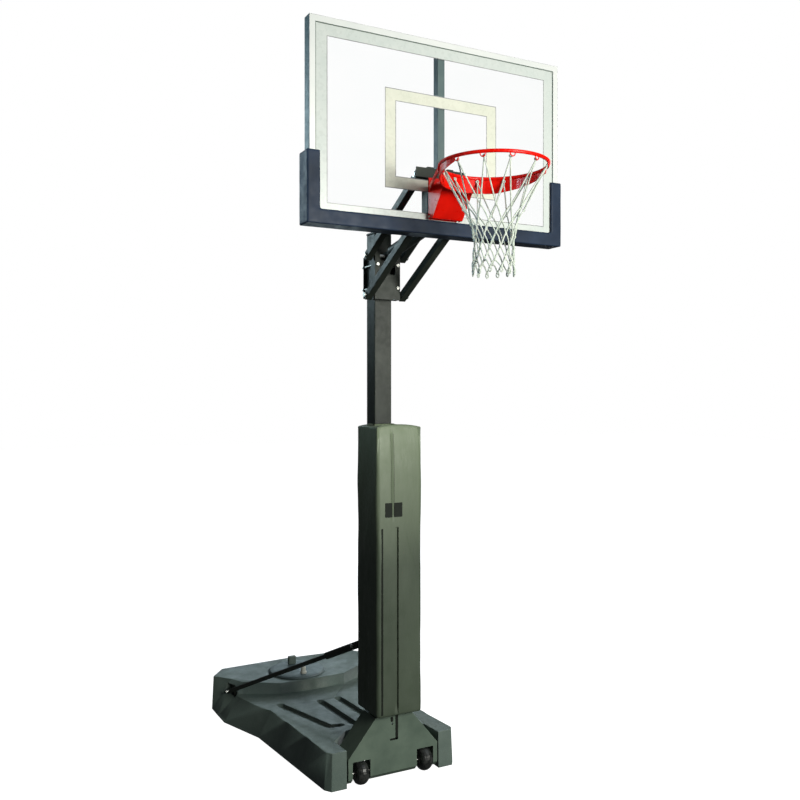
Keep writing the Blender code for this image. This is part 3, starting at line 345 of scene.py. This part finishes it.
# The third colour is the painted highlight at the pad's top.
VINYL = pad_vinyl("post_pad_vinyl", (0.040, 0.055, 0.037), (0.066, 0.086, 0.060), (0.185, 0.230, 0.150))
PATCH = pad_vinyl("post_pad_patch", (0.009, 0.011, 0.009), (0.016, 0.020, 0.016), (0.016, 0.020, 0.016),
                  shine=0.08)
FOAM = pad_foam("edge_pad_foam", (0.009, 0.017, 0.034), (0.019, 0.033, 0.064))
TYRE = tyre_rubber("wheel_tyre")
CORD = net_cord("net_braid")
BORDER = board_paint("border_paint", (0.58, 0.62, 0.60), (0.54, 0.59, 0.57))
TARGET = board_paint("target_paint", (0.66, 0.67, 0.58), (0.61, 0.63, 0.54))
OUTLINE = board_paint("outline_paint", (0.30, 0.31, 0.31), (0.22, 0.23, 0.24))
GASKET = pad_foam("glass_gasket_rubber", (0.10, 0.13, 0.11), (0.18, 0.21, 0.19))
GLASS = clear_glass("board_glass_clear")
CAP = moulded_plastic("white_cap_plastic", (0.60, 0.60, 0.52), (0.80, 0.80, 0.72), 0.45)

NODE_MATERIALS = {
    STEEL: ["arm_bracket", "clamp_plate", "pole", "pole_cap", "brace_collar", "brace_foot_left",
            "brace_foot_right", "brace_rod_left", "brace_rod_right", "brace_sleeve_left",
            "brace_sleeve_right", "carriage_upright_left", "carriage_upright_right", "cross_bracket_lower",
            "cross_bracket_upper", "lift_strut_tube", "lower_arm_left", "lower_arm_right", "upper_arm_left",
            "upper_arm_right"],
    STRUT_GLASS_REFLECTION: ["centre_strut"],
    FRAME_SIDE_SHADE: ["board_frame"],
    TOWER_STEEL: ["tower_bracket"],
    TANK: ["tank", "lid_grip", "ballast"],
    LID: ["tank_lid"],
    TYRE: ["wheel_left", "wheel_right"],
    ZINC: ["brace_bolt_front_left", "brace_bolt_front_right", "brace_bolt_rear_left",
           "brace_bolt_rear_right", "clamp_bolt_lower_left", "clamp_bolt_lower_right",
           "clamp_bolt_upper_left", "clamp_bolt_upper_right", "lift_strut_rod", "lower_front_pin",
           "lower_rear_pin", "pole_foot_bolt", "rim_bolt_left", "rim_bolt_right", "rim_hinge_pin",
           "rim_spring_left", "rim_spring_right", "upper_front_pin", "upper_rear_pin", "wheel_axle"],
    GLASS: ["backboard"],
    RED: ["rim_mount_plate", "rim_housing", "rim_ring", "rim_band", "rim_brace_left", "rim_brace_right"],
    CAP: ["fill_plug"],
}


def paint_nodes():
    """Give every CAD node its material."""
    for material, names in NODE_MATERIALS.items():
        for name in names:
            node = NODES[name]
            node.data.materials.clear()
            node.data.materials.append(material)


# ---- mesh helpers -------------------------------------------------------------------------
def new_piece(name, mesh, material, body, replaced=()):
    """Link a finished mesh or curve, give it its material, and let it ride on its body."""
    piece = bpy.data.objects.new(name, mesh)
    bpy.context.scene.collection.objects.link(piece)
    mesh.materials.clear()
    mesh.materials.append(material)
    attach(piece, body)
    if replaced:
        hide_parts(*replaced)
    return piece


def finish_mesh(work, name, smooth_angle=40.0):
    """Turn a bmesh into a shaded mesh."""
    bmesh.ops.recalc_face_normals(work, faces=work.faces)
    mesh = bpy.data.meshes.new(name)
    work.to_mesh(mesh)
    work.free()
    mesh.shade_smooth()
    mesh.set_sharp_from_angle(angle=math.radians(smooth_angle))
    return mesh


def applied(mesh, modifiers):
    """The mesh after some modifiers, each given as (type, settings)."""
    holder = bpy.data.objects.new("holder", mesh)
    bpy.context.scene.collection.objects.link(holder)
    for kind, settings in modifiers:
        step = holder.modifiers.new(kind.lower(), kind)
        for key, value in settings.items():
            setattr(step, key, value)
    result = bpy.data.meshes.new_from_object(holder.evaluated_get(bpy.context.evaluated_depsgraph_get()))
    bpy.data.objects.remove(holder, do_unlink=True)
    return result


def node_mesh(node, flat_angle=0.3):
    """A welded copy of a CAD node's mesh, with its flat faces whole again."""
    work = bmesh.new()
    work.from_mesh(NODES[node].data)
    bmesh.ops.remove_doubles(work, verts=work.verts, dist=0.00005)
    bmesh.ops.dissolve_limit(work, angle_limit=math.radians(flat_angle), verts=work.verts, edges=work.edges)
    mesh = bpy.data.meshes.new(node + "_welded")
    work.to_mesh(mesh)
    work.free()
    return mesh


def add_box(work, low, high):
    """Add a box to a bmesh, given two opposite corners."""
    low, high = Vector(low), Vector(high)
    matrix = Matrix.Translation((low + high) / 2) @ Matrix.Diagonal((*(high - low), 1.0))
    bmesh.ops.create_cube(work, size=1.0, matrix=matrix)


def bevel_all(work, width):
    bmesh.ops.bevel(work, geom=list(work.edges), offset=width, segments=2, affect='EDGES')


def tube_curve(name, paths, radius, closed=False, resolution=3):
    """A curve object's data with one round tube along each path."""
    curve = bpy.data.curves.new(name, 'CURVE')
    curve.dimensions = '3D'
    curve.bevel_depth = radius
    curve.bevel_resolution = resolution
    curve.use_fill_caps = True
    for path in paths:
        spline = curve.splines.new('POLY')
        spline.points.add(len(path) - 1)
        for point, place in zip(spline.points, path):
            point.co = (*place, 1.0)
        spline.use_cyclic_u = closed
    return curve


def applied_curve(curve):
    """A curve's tubes as a mesh."""
    holder = bpy.data.objects.new("holder", curve)
    bpy.context.scene.collection.objects.link(holder)
    mesh = bpy.data.meshes.new_from_object(holder.evaluated_get(bpy.context.evaluated_depsgraph_get()))
    bpy.data.objects.remove(holder, do_unlink=True)
    return mesh


# ---- post pad, in pole-relative y ---------------------------------------------------------
PAD = {"half": 0.1325, "front": -0.2470, "back": -0.0020, "low": 0.358, "high": 1.887, "slot": 0.0525}
PAD_FRONT_CORNER = 0.020
PAD_BACK_CORNER = 0.010
PAD_END_ROUND = 0.012
PAD_ROWS = 118
FRONT_CROWN = 0.0035
SEAM_X = -0.043
SEAM_END = 1.403
SEAM_SIZE = 0.0040
CHANNEL_LEFT, CHANNEL_RIGHT, CHANNEL_TOP = -0.030, -0.011, 1.349
CHANNEL_DEPTH = 0.012
LEAN_START, LEAN_LENGTH, LEAN_DEPTH = 1.62, 0.27, 0.020
DENT_X, DENT_Z, DENT_DEPTH = 0.07, 1.16, 0.0030
DROOP_START, DROOP_LENGTH, DROOP_DEPTH = 1.86, 0.03, 0.012
PATCH_TOP = 1.478
PATCH_SPANS = ((-0.088, -0.047), (-0.036, 0.012))
PATCH_OUT = 0.0050
BINDING_LEFT, BINDING_RIGHT, BINDING_LOW, BINDING_HIGH, BINDING_OUT = -0.110, -0.099, 0.372, 1.345, 0.0025
STITCH_HALF, STITCH_LENGTH, STITCH_STEP = 0.0006, 0.0060, 0.0100
STITCH_FROM_SEAM = 0.0085


def arc(centre, radius, start, end, steps):
    """Points along an arc, with its angles in degrees."""
    return [(centre[0] + radius * math.cos(math.radians(start + (end - start) * i / steps)),
             centre[1] + radius * math.sin(math.radians(start + (end - start) * i / steps)))
            for i in range(steps + 1)]


def line(start, end, spacing):
    """Points between two ends, without the ends."""
    count = max(1, round(math.dist(start, end) / spacing))
    return [(start[0] + (end[0] - start[0]) * i / count, start[1] + (end[1] - start[1]) * i / count)
            for i in range(1, count)]


def pad_outline():
    """The post pad's section, counterclockwise from its right rear corner, with a slot for the pole."""
    half, front, back, slot = PAD["half"], PAD["front"], PAD["back"], PAD["slot"]
    big, small = PAD_FRONT_CORNER, PAD_BACK_CORNER
    mouth, lip = slot + 0.003, back - 0.004
    points = arc((half - small, back - small), small, 0, 90, 3)
    points += line((half - small, back), (mouth, back), 0.012) + [(mouth, back), (slot, lip)]
    points += line((slot, lip), (slot, -slot), 0.015) + [(slot, -slot)]
    points += line((slot, -slot), (-slot, -slot), 0.015) + [(-slot, -slot)]
    points += line((-slot, -slot), (-slot, lip), 0.015) + [(-slot, lip), (-mouth, back)]
    points += line((-mouth, back), (-half + small, back), 0.012)
    points += arc((-half + small, back - small), small, 90, 180, 3)
    points += line((-half, back - small), (-half, front + big), 0.010)
    points += arc((-half + big, front + big), big, 180, 270, 5)
    marks = [SEAM_X - 0.004, SEAM_X, SEAM_X + 0.004]
    marks += [edge + step for edge in (CHANNEL_LEFT, CHANNEL_RIGHT) for step in (-0.001, 0.001)]
    spaced = [-0.109 + 0.0075 * i for i in range(30)]
    marks += [x for x in spaced if all(abs(x - mark) > 0.003 for mark in marks)]
    points += [(x, front) for x in sorted(marks) if abs(x) < half - big - 0.002]
    points += arc((half - big, front + big), big, 270, 360, 5)
    points += line((half, front + big), (half, back - small), 0.010)
    return points


def top_lean(z):
    """How far the pad's front curves back towards its top."""
    lean = max(0.0, z - LEAN_START) / LEAN_LENGTH
    return LEAN_DEPTH * lean * lean


def top_droop(x, z):
    """How far the corners of the pad's top hang down."""
    return DROOP_DEPTH * max(0.0, (z - DROOP_START) / DROOP_LENGTH) * (abs(x) / 0.12) ** 2


def front_shift(x, z, crease):
    """The front face's crown, creases, seam, channel and one soft dent."""
    out = crease * 0.6 + FRONT_CROWN * (1.0 - (x / PAD["half"]) ** 2)
    if z > SEAM_END - 0.02:
        fade = min(1.0, (z - SEAM_END + 0.02) / 0.02)
        out -= SEAM_SIZE * math.exp(-((x - SEAM_X) / SEAM_SIZE) ** 2) * fade
    if CHANNEL_LEFT < x < CHANNEL_RIGHT and z < CHANNEL_TOP:
        out -= CHANNEL_DEPTH
    across = ((x - DENT_X) * 1.6 + (z - DENT_Z - 0.06) * 0.55) / 0.012
    along = (z - DENT_Z) / 0.16
    return out - DENT_DEPTH * math.exp(-across ** 2 - along ** 2)


def side_shift(y, z, crease):
    """The side faces' creases and slanting folds, strongest below the top."""
    fold = math.sin((z * 9.0 + y * 26.0) + 2.0 * noise.noise(Vector((y * 6.0, z * 2.0, 4.0))))
    return crease + 0.0022 * fold * math.exp(-((z - 1.5) / 0.45) ** 2)


def pad_shift(x, y, z):
    """How far the pad's skin stands out from its plain form at a point, along its own face."""
    crease = noise.noise(Vector((x * 9.0, y * 9.0, z * 2.2))) * 0.0030
    crease += noise.noise(Vector((x * 30.0 + z * 6.0, y * 30.0, z * 7.0))) * 0.0012
    calm = min(1.0, min(z - PAD["low"], PAD["high"] - z) / 0.05)
    if y < PAD["front"] + 0.004:
        return front_shift(x, z, crease) * calm - top_lean(z)
    if abs(x) > PAD["half"] - 0.004:
        return side_shift(y, z, crease) * calm
    return 0.0


def inward_normals(outline):
    """The inward direction at each corner of an outline, lengthened so that insets stay parallel."""
    normals = []
    for i, point in enumerate(outline):
        before = (point - outline[i - 1]).normalized()
        after = (outline[(i + 1) % len(outline)] - point).normalized()
        normals.append(Vector((-before.y - after.y, before.x + after.x)) / (1 + before.dot(after)))
    return normals


def pad_heights():
    """The pad's rows as (height, inset): rounded at both ends, with two rows close to the channel's top."""
    low, high, edge = PAD["low"], PAD["high"], PAD_END_ROUND
    foot = [(low + edge * (1 - math.cos(turn)), edge * (1 - math.sin(turn)))
            for turn in map(math.radians, (0, 25, 50, 70, 90))]
    span = high - low - 2 * edge
    rows = [low + edge + span * i / PAD_ROWS for i in range(1, PAD_ROWS)]
    marks = [CHANNEL_TOP - 0.0015, CHANNEL_TOP + 0.0015]
    rows = [z for z in rows if all(abs(z - mark) > 0.004 for mark in marks)] + marks
    top = [(high + low - z, inset) for z, inset in reversed(foot)]
    return foot + [(z, 0.0) for z in sorted(rows)] + top


def post_pad():
    """The post pad's vinyl skin, lofted from its section."""
    outline = [Vector(point) for point in pad_outline()]
    count = len(outline)
    inward = inward_normals(outline)
    work = bmesh.new()
    rings = []
    for z, inset in pad_heights():
        ring = []
        for point, normal in zip(outline, inward):
            shift = pad_shift(point.x, point.y, z)
            place = point + normal * (inset - shift)
            ring.append(work.verts.new((place.x, place.y + POLE_Y, z - top_droop(point.x, z))))
        rings.append(ring)
    for lower, upper in zip(rings, rings[1:]):
        for i in range(count):
            j = (i + 1) % count
            work.faces.new((lower[i], lower[j], upper[j], upper[i]))
    work.faces.new(rings[-1])
    work.faces.new(list(reversed(rings[0])))
    mesh = finish_mesh(work, "post_pad_skin", 50.0)
    pad = new_piece("post_pad_skin", mesh, VINYL, "stand", ["post_pad"])


def pad_strips(name, strips, out, bevel):
    """Thin strips on the pad's front face, each given as (low x, high x, low z, high z)."""
    face = PAD["front"] + POLE_Y
    work = bmesh.new()
    for x_low, x_high, z_low, z_high in strips:
        add_box(work, (x_low, face - out, z_low), (x_high, face + 0.004, z_high))
    bevel_all(work, bevel)
    new_piece(name, finish_mesh(work, name), PATCH, "stand")


def seam_stitches():
    """Two rows of stitches beside the pad's seam."""
    work = bmesh.new()
    face = PAD["front"] + POLE_Y
    z = SEAM_END + 0.008
    while z < PAD["high"] - 0.050:
        for x in (SEAM_X - STITCH_FROM_SEAM, SEAM_X + STITCH_FROM_SEAM):
            y = face + top_lean(z) - 0.0032
            add_box(work, (x - STITCH_HALF, y - STITCH_HALF, z),
                    (x + STITCH_HALF, y + STITCH_HALF, z + STITCH_LENGTH))
        z += STITCH_STEP
    new_piece("pad_seam_stitches", finish_mesh(work, "pad_seam_stitches"), PATCH, "stand")


def post_pad_details():
    """The plain patches, the flap's binding and the seam's stitches on the pad's front."""
    patches = [(x_low, x_high, SEAM_END, PATCH_TOP) for x_low, x_high in PATCH_SPANS]
    pad_strips("pad_patches", patches, PATCH_OUT, 0.0012)
    binding = (BINDING_LEFT, BINDING_RIGHT, BINDING_LOW, BINDING_HIGH)
    pad_strips("pad_flap_binding", [binding], BINDING_OUT, 0.0010)
    seam_stitches()


# ---- board: each rectangle is (half width, low z, high z) ---------------------------------
BOARD_FRONT = -0.687 + POLE_Y
PAINT_Y = -0.6829 + POLE_Y
PAINT_THICK = 0.00018
LINE_WIDTH = 0.0035
BORDER_OUTER, BORDER_INNER = (0.6600, 2.8440, 3.7060), (0.6000, 2.9010, 3.6500)
TARGET_OUTER, TARGET_INNER = (0.3048, 3.0080, 3.4652), (0.2540, 3.0588, 3.4144)
GASKET_OUTER, GASKET_INNER = (0.6557, 2.8477, 3.7019), (0.6527, 2.8507, 3.6989)
STRIP_OUTER, STRIP_INNER = (0.6842, 2.8192, 3.7304), (0.6564, 2.8470, 3.7026)
BEAD_RADIUS = 0.0011


def frame_strip(name, outer, inner, y_front, y_back, material, slot):
    """A flat rectangular band between two rectangles."""
    work = bmesh.new()
    rings = []
    for half, low, high in (outer, inner):
        for y in (y_front, y_back):
            rings.append([work.verts.new(point) for point in
                          ((half, y, low), (half, y, high), (-half, y, high), (-half, y, low))])
    for a, b in ((0, 1), (1, 3), (3, 2), (2, 0)):
        for i in range(4):
            j = (i + 1) % 4
            work.faces.new((rings[a][i], rings[a][j], rings[b][j], rings[b][i]))
    new_piece(name, finish_mesh(work, name), material, "board")


def grown(rectangle, margin):
    """A rectangle with a margin added on every side."""
    half, low, high = rectangle
    return half + margin, low - margin, high + margin


def board_markings():
    """The painted border, target box and outlines on the glass, the gasket and the frame's strip."""
    paint = (PAINT_Y - PAINT_THICK, PAINT_Y)
    bands = (("board_border", BORDER_OUTER, BORDER_INNER, BORDER),
             ("board_border_line", BORDER_INNER, grown(BORDER_INNER, -LINE_WIDTH), OUTLINE),
             ("target_box", TARGET_OUTER, TARGET_INNER, TARGET),
             ("target_line_outer", grown(TARGET_OUTER, LINE_WIDTH), TARGET_OUTER, OUTLINE),
             ("target_line_inner", TARGET_INNER, grown(TARGET_INNER, -LINE_WIDTH), OUTLINE))
    for name, outer, inner, material in bands:
        frame_strip(name, outer, inner, *paint, material, "board_glass")
    frame_strip("glass_gasket", GASKET_OUTER, GASKET_INNER, BOARD_FRONT + 0.0015, PAINT_Y - 2 * PAINT_THICK,
                GASKET, "edge_pad")
    frame_strip("frame_front_strip", STRIP_OUTER, STRIP_INNER, BOARD_FRONT - 0.0006, BOARD_FRONT + 0.0002,
                ALUMINIUM, "frame_aluminium")


def frame_bead():
    """A thin dark bead along the frame's outer front edge."""
    inset = Vector((BEAD_RADIUS, BEAD_RADIUS, BEAD_RADIUS))
    low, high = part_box("board_frame")
    left, front, bottom = Vector(low) + inset
    right, _, top = Vector(high) - inset
    corners = [(left, front, bottom), (right, front, bottom), (right, front, top), (left, front, top)]
    curve = tube_curve("frame_bead", [corners], BEAD_RADIUS, closed=True, resolution=1)
    new_piece("frame_bead", curve, OUTLINE, "board")


def board_pad():
    """The edge pad, softened from its CAD form into moulded foam."""
    mesh = applied(node_mesh("board_pad"), [
        ('REMESH', {"mode": 'VOXEL', "voxel_size": 0.0042}),
        ('SMOOTH', {"factor": 0.5, "iterations": 6})])
    normals = [vertex.normal.copy() for vertex in mesh.vertices]
    for vertex, normal in zip(mesh.vertices, normals):
        vertex.co += normal * noise.noise(vertex.co * 14.0) * 0.0006
    mesh.shade_smooth()
    pad = new_piece("board_pad_foam", mesh, FOAM, "board", ["board_pad"])


# ---- rim and net --------------------------------------------------------------------------
RING_RADIUS = 0.2366
HOOKS = 12
HOOK_HALF_WIDTH, HOOK_DROP, HOOK_ROD = 0.011, 0.015, 0.0025
NET_ROWS = [(3.018, 0.2300), (2.846, 0.1330), (2.786, 0.1040), (2.730, 0.0930), (2.674, 0.0900),
            (2.622, 0.0900), (2.584, 0.0950)]
NET_CORD_RADIUS = 0.0032
KNOT_SIZE = (0.0062, 0.0056, 0.0072)
LOOP_STEPS = 8
LOOP_HALF_WIDTH = 0.006
CORD_STEPS = 7


def around(angle, radius, z):
    """A point at an angle around the ring's axis."""
    return Vector((radius * math.cos(angle), RING_CENTRE.y + radius * math.sin(angle), z))


def net_hooks():
    """Small bent rods under the ring that hold the net's loops."""
    paths = []
    for i in range(HOOKS):
        angle = 2 * math.pi * (i + 0.5) / HOOKS
        side = Vector((-math.sin(angle), math.cos(angle), 0.0))
        top = around(angle, RING_RADIUS, RING_CENTRE.z - 0.0065)
        path = []
        for t in range(LOOP_STEPS + 1):
            swing = math.pi * t / LOOP_STEPS
            drop = Vector((0, 0, HOOK_DROP * math.sin(swing)))
            path.append(top + side * HOOK_HALF_WIDTH * math.cos(swing) - drop)
        paths.append(path)
    curve = tube_curve("net_hooks", paths, HOOK_ROD)
    new_piece("net_hooks", curve, RED, "rim")


def slack_path(start, end, sag, sway):
    """A cord between two knots that hangs a little slack."""
    path = []
    for i in range(CORD_STEPS + 1):
        t = i / CORD_STEPS
        bow = math.sin(math.pi * t)
        path.append(start.lerp(end, t) + sway * bow - Vector((0, 0, sag * bow)))
    return path


def net_knot(row, column):
    """Where a knot hangs. Odd rows lie half a step around from even ones."""
    z, radius = NET_ROWS[row]
    angle = 2 * math.pi * (column + 0.5 + 0.5 * (row % 2)) / HOOKS
    wander = noise.noise(Vector((column * 1.7, row * 2.3, 0.5)))
    lift = 0.006 * wander if row else 0.0
    return around(angle + 0.05 * wander, radius * (1 + 0.03 * wander) - 0.002, z + lift)


def net_loop(knot, rise):
    """A narrow closed loop that rises from a knot, or hangs from it where the rise is negative."""
    side = Vector((-(knot.y - RING_CENTRE.y), knot.x, 0)).normalized()
    loop = []
    for t in range(LOOP_STEPS + 1):
        swing = 2 * math.pi * t / LOOP_STEPS
        up = Vector((0, 0, rise * (1 - math.cos(swing)) / 2))
        loop.append(knot + side * LOOP_HALF_WIDTH * math.sin(swing) + up)
    return loop


def net_mesh_paths():
    """The diamond mesh's cords, each from a knot to one of the two knots below it."""
    paths = []
    for row in range(len(NET_ROWS) - 1):
        for column in range(HOOKS):
            start = net_knot(row, column)
            step = 0 if row % 2 else -1
            for target in (column + step, column + step + 1):
                end = net_knot(row + 1, target % HOOKS)
                twist = noise.noise(Vector((row * 3.1, column * 1.3, target * 0.7)))
                outward = Vector((start.x, start.y - RING_CENTRE.y, 0)).normalized()
                slack = 0.010 if row else 0.003
                paths.append(slack_path(start, end, -slack * (0.6 + twist), outward * (0.010 * twist)))
    return paths


def net():
    """The corded net: loops on the hooks, a diamond mesh, and short loops at its foot."""
    paths = net_mesh_paths()
    for column in range(HOOKS):
        drop = 0.020 + 0.006 * noise.noise(Vector((column * 2.9, 1.0, 7.0)))
        paths.append(net_loop(net_knot(len(NET_ROWS) - 1, column), -drop))
    for column in range(HOOKS):
        paths.append(net_loop(net_knot(0, column), 0.010))
    mesh = applied_curve(tube_curve("net_cords", paths, NET_CORD_RADIUS, resolution=2))
    work = bmesh.new()
    work.from_mesh(mesh)
    for row in range(1, len(NET_ROWS)):
        for column in range(HOOKS):
            place = net_knot(row, column)
            turn = Matrix.Rotation(noise.noise(place * 40.0) * 2.0, 4, 'Z')
            matrix = Matrix.Translation(place) @ turn @ Matrix.Diagonal((*KNOT_SIZE, 1.0))
            bmesh.ops.create_icosphere(work, subdivisions=2, radius=1.0, matrix=matrix)
    new_piece("net_cords", finish_mesh(work, "net_cords", 60.0), CORD, "rim", ["net"])


# ---- tank and tower: each painted slot shade and the catch is (low x, high x, low z, high z) -----
SLOT_PAINTED_SHADES = ((0.0085, 0.0250, 0.2050, 0.3700), (-0.0240, 0.0250, 0.2035, 0.2140))
CATCH = (-0.0200, -0.0050, 0.3030, 0.3290)
PLATE_SKIN = 0.0020


def tank_skin():
    """The tank with rounded moulded edges."""
    rough = node_mesh("tank", 1.0)
    rough.shade_smooth()
    bevel = {"width": 0.010, "segments": 4, "limit_method": 'ANGLE', "angle_limit": math.radians(22)}
    mesh = applied(rough, [('BEVEL', bevel), ('WEIGHTED_NORMAL', {"weight": 90, "keep_sharp": True})])
    new_piece("tank_skin", mesh, TANK, "stand", ["tank"])


def foot_slot():
    """Dark strips as painted shade inside the lever's slot in the tower plate, and the catch beside it."""
    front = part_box("tower_bracket")[0][1] - 0.0004
    work = bmesh.new()
    # Dark strips just proud of the plate: painted shade where the slot's hollow is.
    for x_low, x_high, z_low, z_high in SLOT_PAINTED_SHADES:
        add_box(work, (x_low, front, z_low), (x_high, front + PLATE_SKIN, z_high))
    new_piece("lever_slot_painted_shade", finish_mesh(work, "lever_slot_painted_shade"), PATCH, "stand")
    work = bmesh.new()
    x_low, x_high, z_low, z_high = CATCH
    add_box(work, (x_low, front - PLATE_SKIN, z_low), (x_high, front + PLATE_SKIN, z_high))
    bevel_all(work, 0.0015)
    new_piece("lever_catch", finish_mesh(work, "lever_catch"), PATCH, "stand")


# ---- stage --------------------------------------------------------------------------------
FLOOR_SIZE = 60.0
FLOOR_DROP = 0.0008
CAMERA_LENS, SENSOR_WIDTH = 39.34, 36.0
CAMERA_PLACE = (-2.137, -4.302 + POLE_Y, 2.047)
CAMERA_TURN = (89.6, 0.0, -27.79)
FILL_STRENGTH = 0.06
# Each soft box: name, place, target, diameter, power, colour, spread in degrees.
SOFT_BOXES = (
    ("key", (1.0, -5.3, 2.7), (0, -0.3, 2.0), 2.2, 330.0, (1.0, 1.0, 0.93), 180.0),
    ("back_sheen", (2.3, 6.2, 2.3), (0, 0.9, 0.2), 2.4, 52.0, (0.72, 0.92, 1.0), 180.0),
    ("rear_softbox", (-2.7, 4.6, 4.4), (-0.3, -0.3, 3.1), 2.2, 4.0, (0.70, 0.92, 1.0), 34.0),
    ("left_softbox", (-5.0, -0.5, 4.4), (-0.6, -0.6, 3.2), 1.2, 3.6, (0.58, 0.80, 1.0), 26.0),
    ("right_rear", (4.6, 3.0, 3.6), (0, 0.1, 1.6), 3.0, 90.0, (0.95, 0.98, 1.0), 180.0),
)


def floor():
    """A wide floor just under the wheels that throws no light back at the object."""
    bpy.ops.mesh.primitive_grid_add(x_subdivisions=8, y_subdivisions=8, size=FLOOR_SIZE)
    ground = bpy.context.active_object
    ground.name = "floor"
    ground.location.z = -FLOOR_DROP
    ground.data.materials.append(pale_floor("floor_pale"))
    ground.visible_diffuse = False
    ground.visible_glossy = False


def area_light(name, place, target, size, power, colour, spread):
    """A round soft box that faces its target and stays out of the picture."""
    light = bpy.data.lights.new(name, 'AREA')
    light.shape = 'DISK'
    light.size = size
    light.energy = power
    light.color = colour
    light.spread = math.radians(spread)
    holder = bpy.data.objects.new(name, light)
    holder.location = place
    holder.rotation_euler = (Vector(target) - Vector(place)).to_track_quat('-Z', 'Y').to_euler()
    holder.visible_camera = False
    bpy.context.scene.collection.objects.link(holder)


def lights():
    """Soft boxes, a broad dim sun from above, and a world that is white to the camera but a weak fill."""
    for box in SOFT_BOXES:
        area_light(*box)
    sky = bpy.data.lights.new("sky", 'SUN')
    sky.energy = 0.4
    sky.angle = math.radians(50)
    sky.color = (0.82, 0.92, 1.0)
    holder = bpy.data.objects.new("sky", sky)
    holder.rotation_euler = (math.radians(12), math.radians(22), 0.0)
    bpy.context.scene.collection.objects.link(holder)
    world = bpy.data.worlds.new("studio")
    bpy.context.scene.world = world
    world.use_nodes = True
    nodes, links = world.node_tree.nodes, world.node_tree.links
    seen = nodes["Background"]
    seen.inputs["Color"].default_value = (1.0, 1.0, 1.0, 1.0)
    seen.inputs["Strength"].default_value = 1.0
    fill = nodes.new("ShaderNodeBackground")
    fill.inputs["Color"].default_value = (0.93, 0.97, 1.0, 1.0)
    fill.inputs["Strength"].default_value = FILL_STRENGTH
    path = nodes.new("ShaderNodeLightPath")
    blend = nodes.new("ShaderNodeMixShader")
    links.new(path.outputs["Is Camera Ray"], blend.inputs["Fac"])
    links.new(fill.outputs["Background"], blend.inputs[1])
    links.new(seen.outputs["Background"], blend.inputs[2])
    links.new(blend.outputs["Shader"], nodes["World Output"].inputs["Surface"])


def camera():
    """The photograph's view."""
    data = bpy.data.cameras.new("camera")
    data.lens = CAMERA_LENS
    data.sensor_width = SENSOR_WIDTH
    data.clip_end = 200.0
    holder = bpy.data.objects.new("camera", data)
    holder.location = CAMERA_PLACE
    holder.rotation_euler = [math.radians(angle) for angle in CAMERA_TURN]
    bpy.context.scene.collection.objects.link(holder)
    bpy.context.scene.camera = holder


bpy.context.scene.view_settings.view_transform = 'Standard'
camera()
lights()
floor()
paint_nodes()
post_pad()
post_pad_details()
board_markings()
frame_bead()
board_pad()
net_hooks()
net()
tank_skin()
foot_slot()
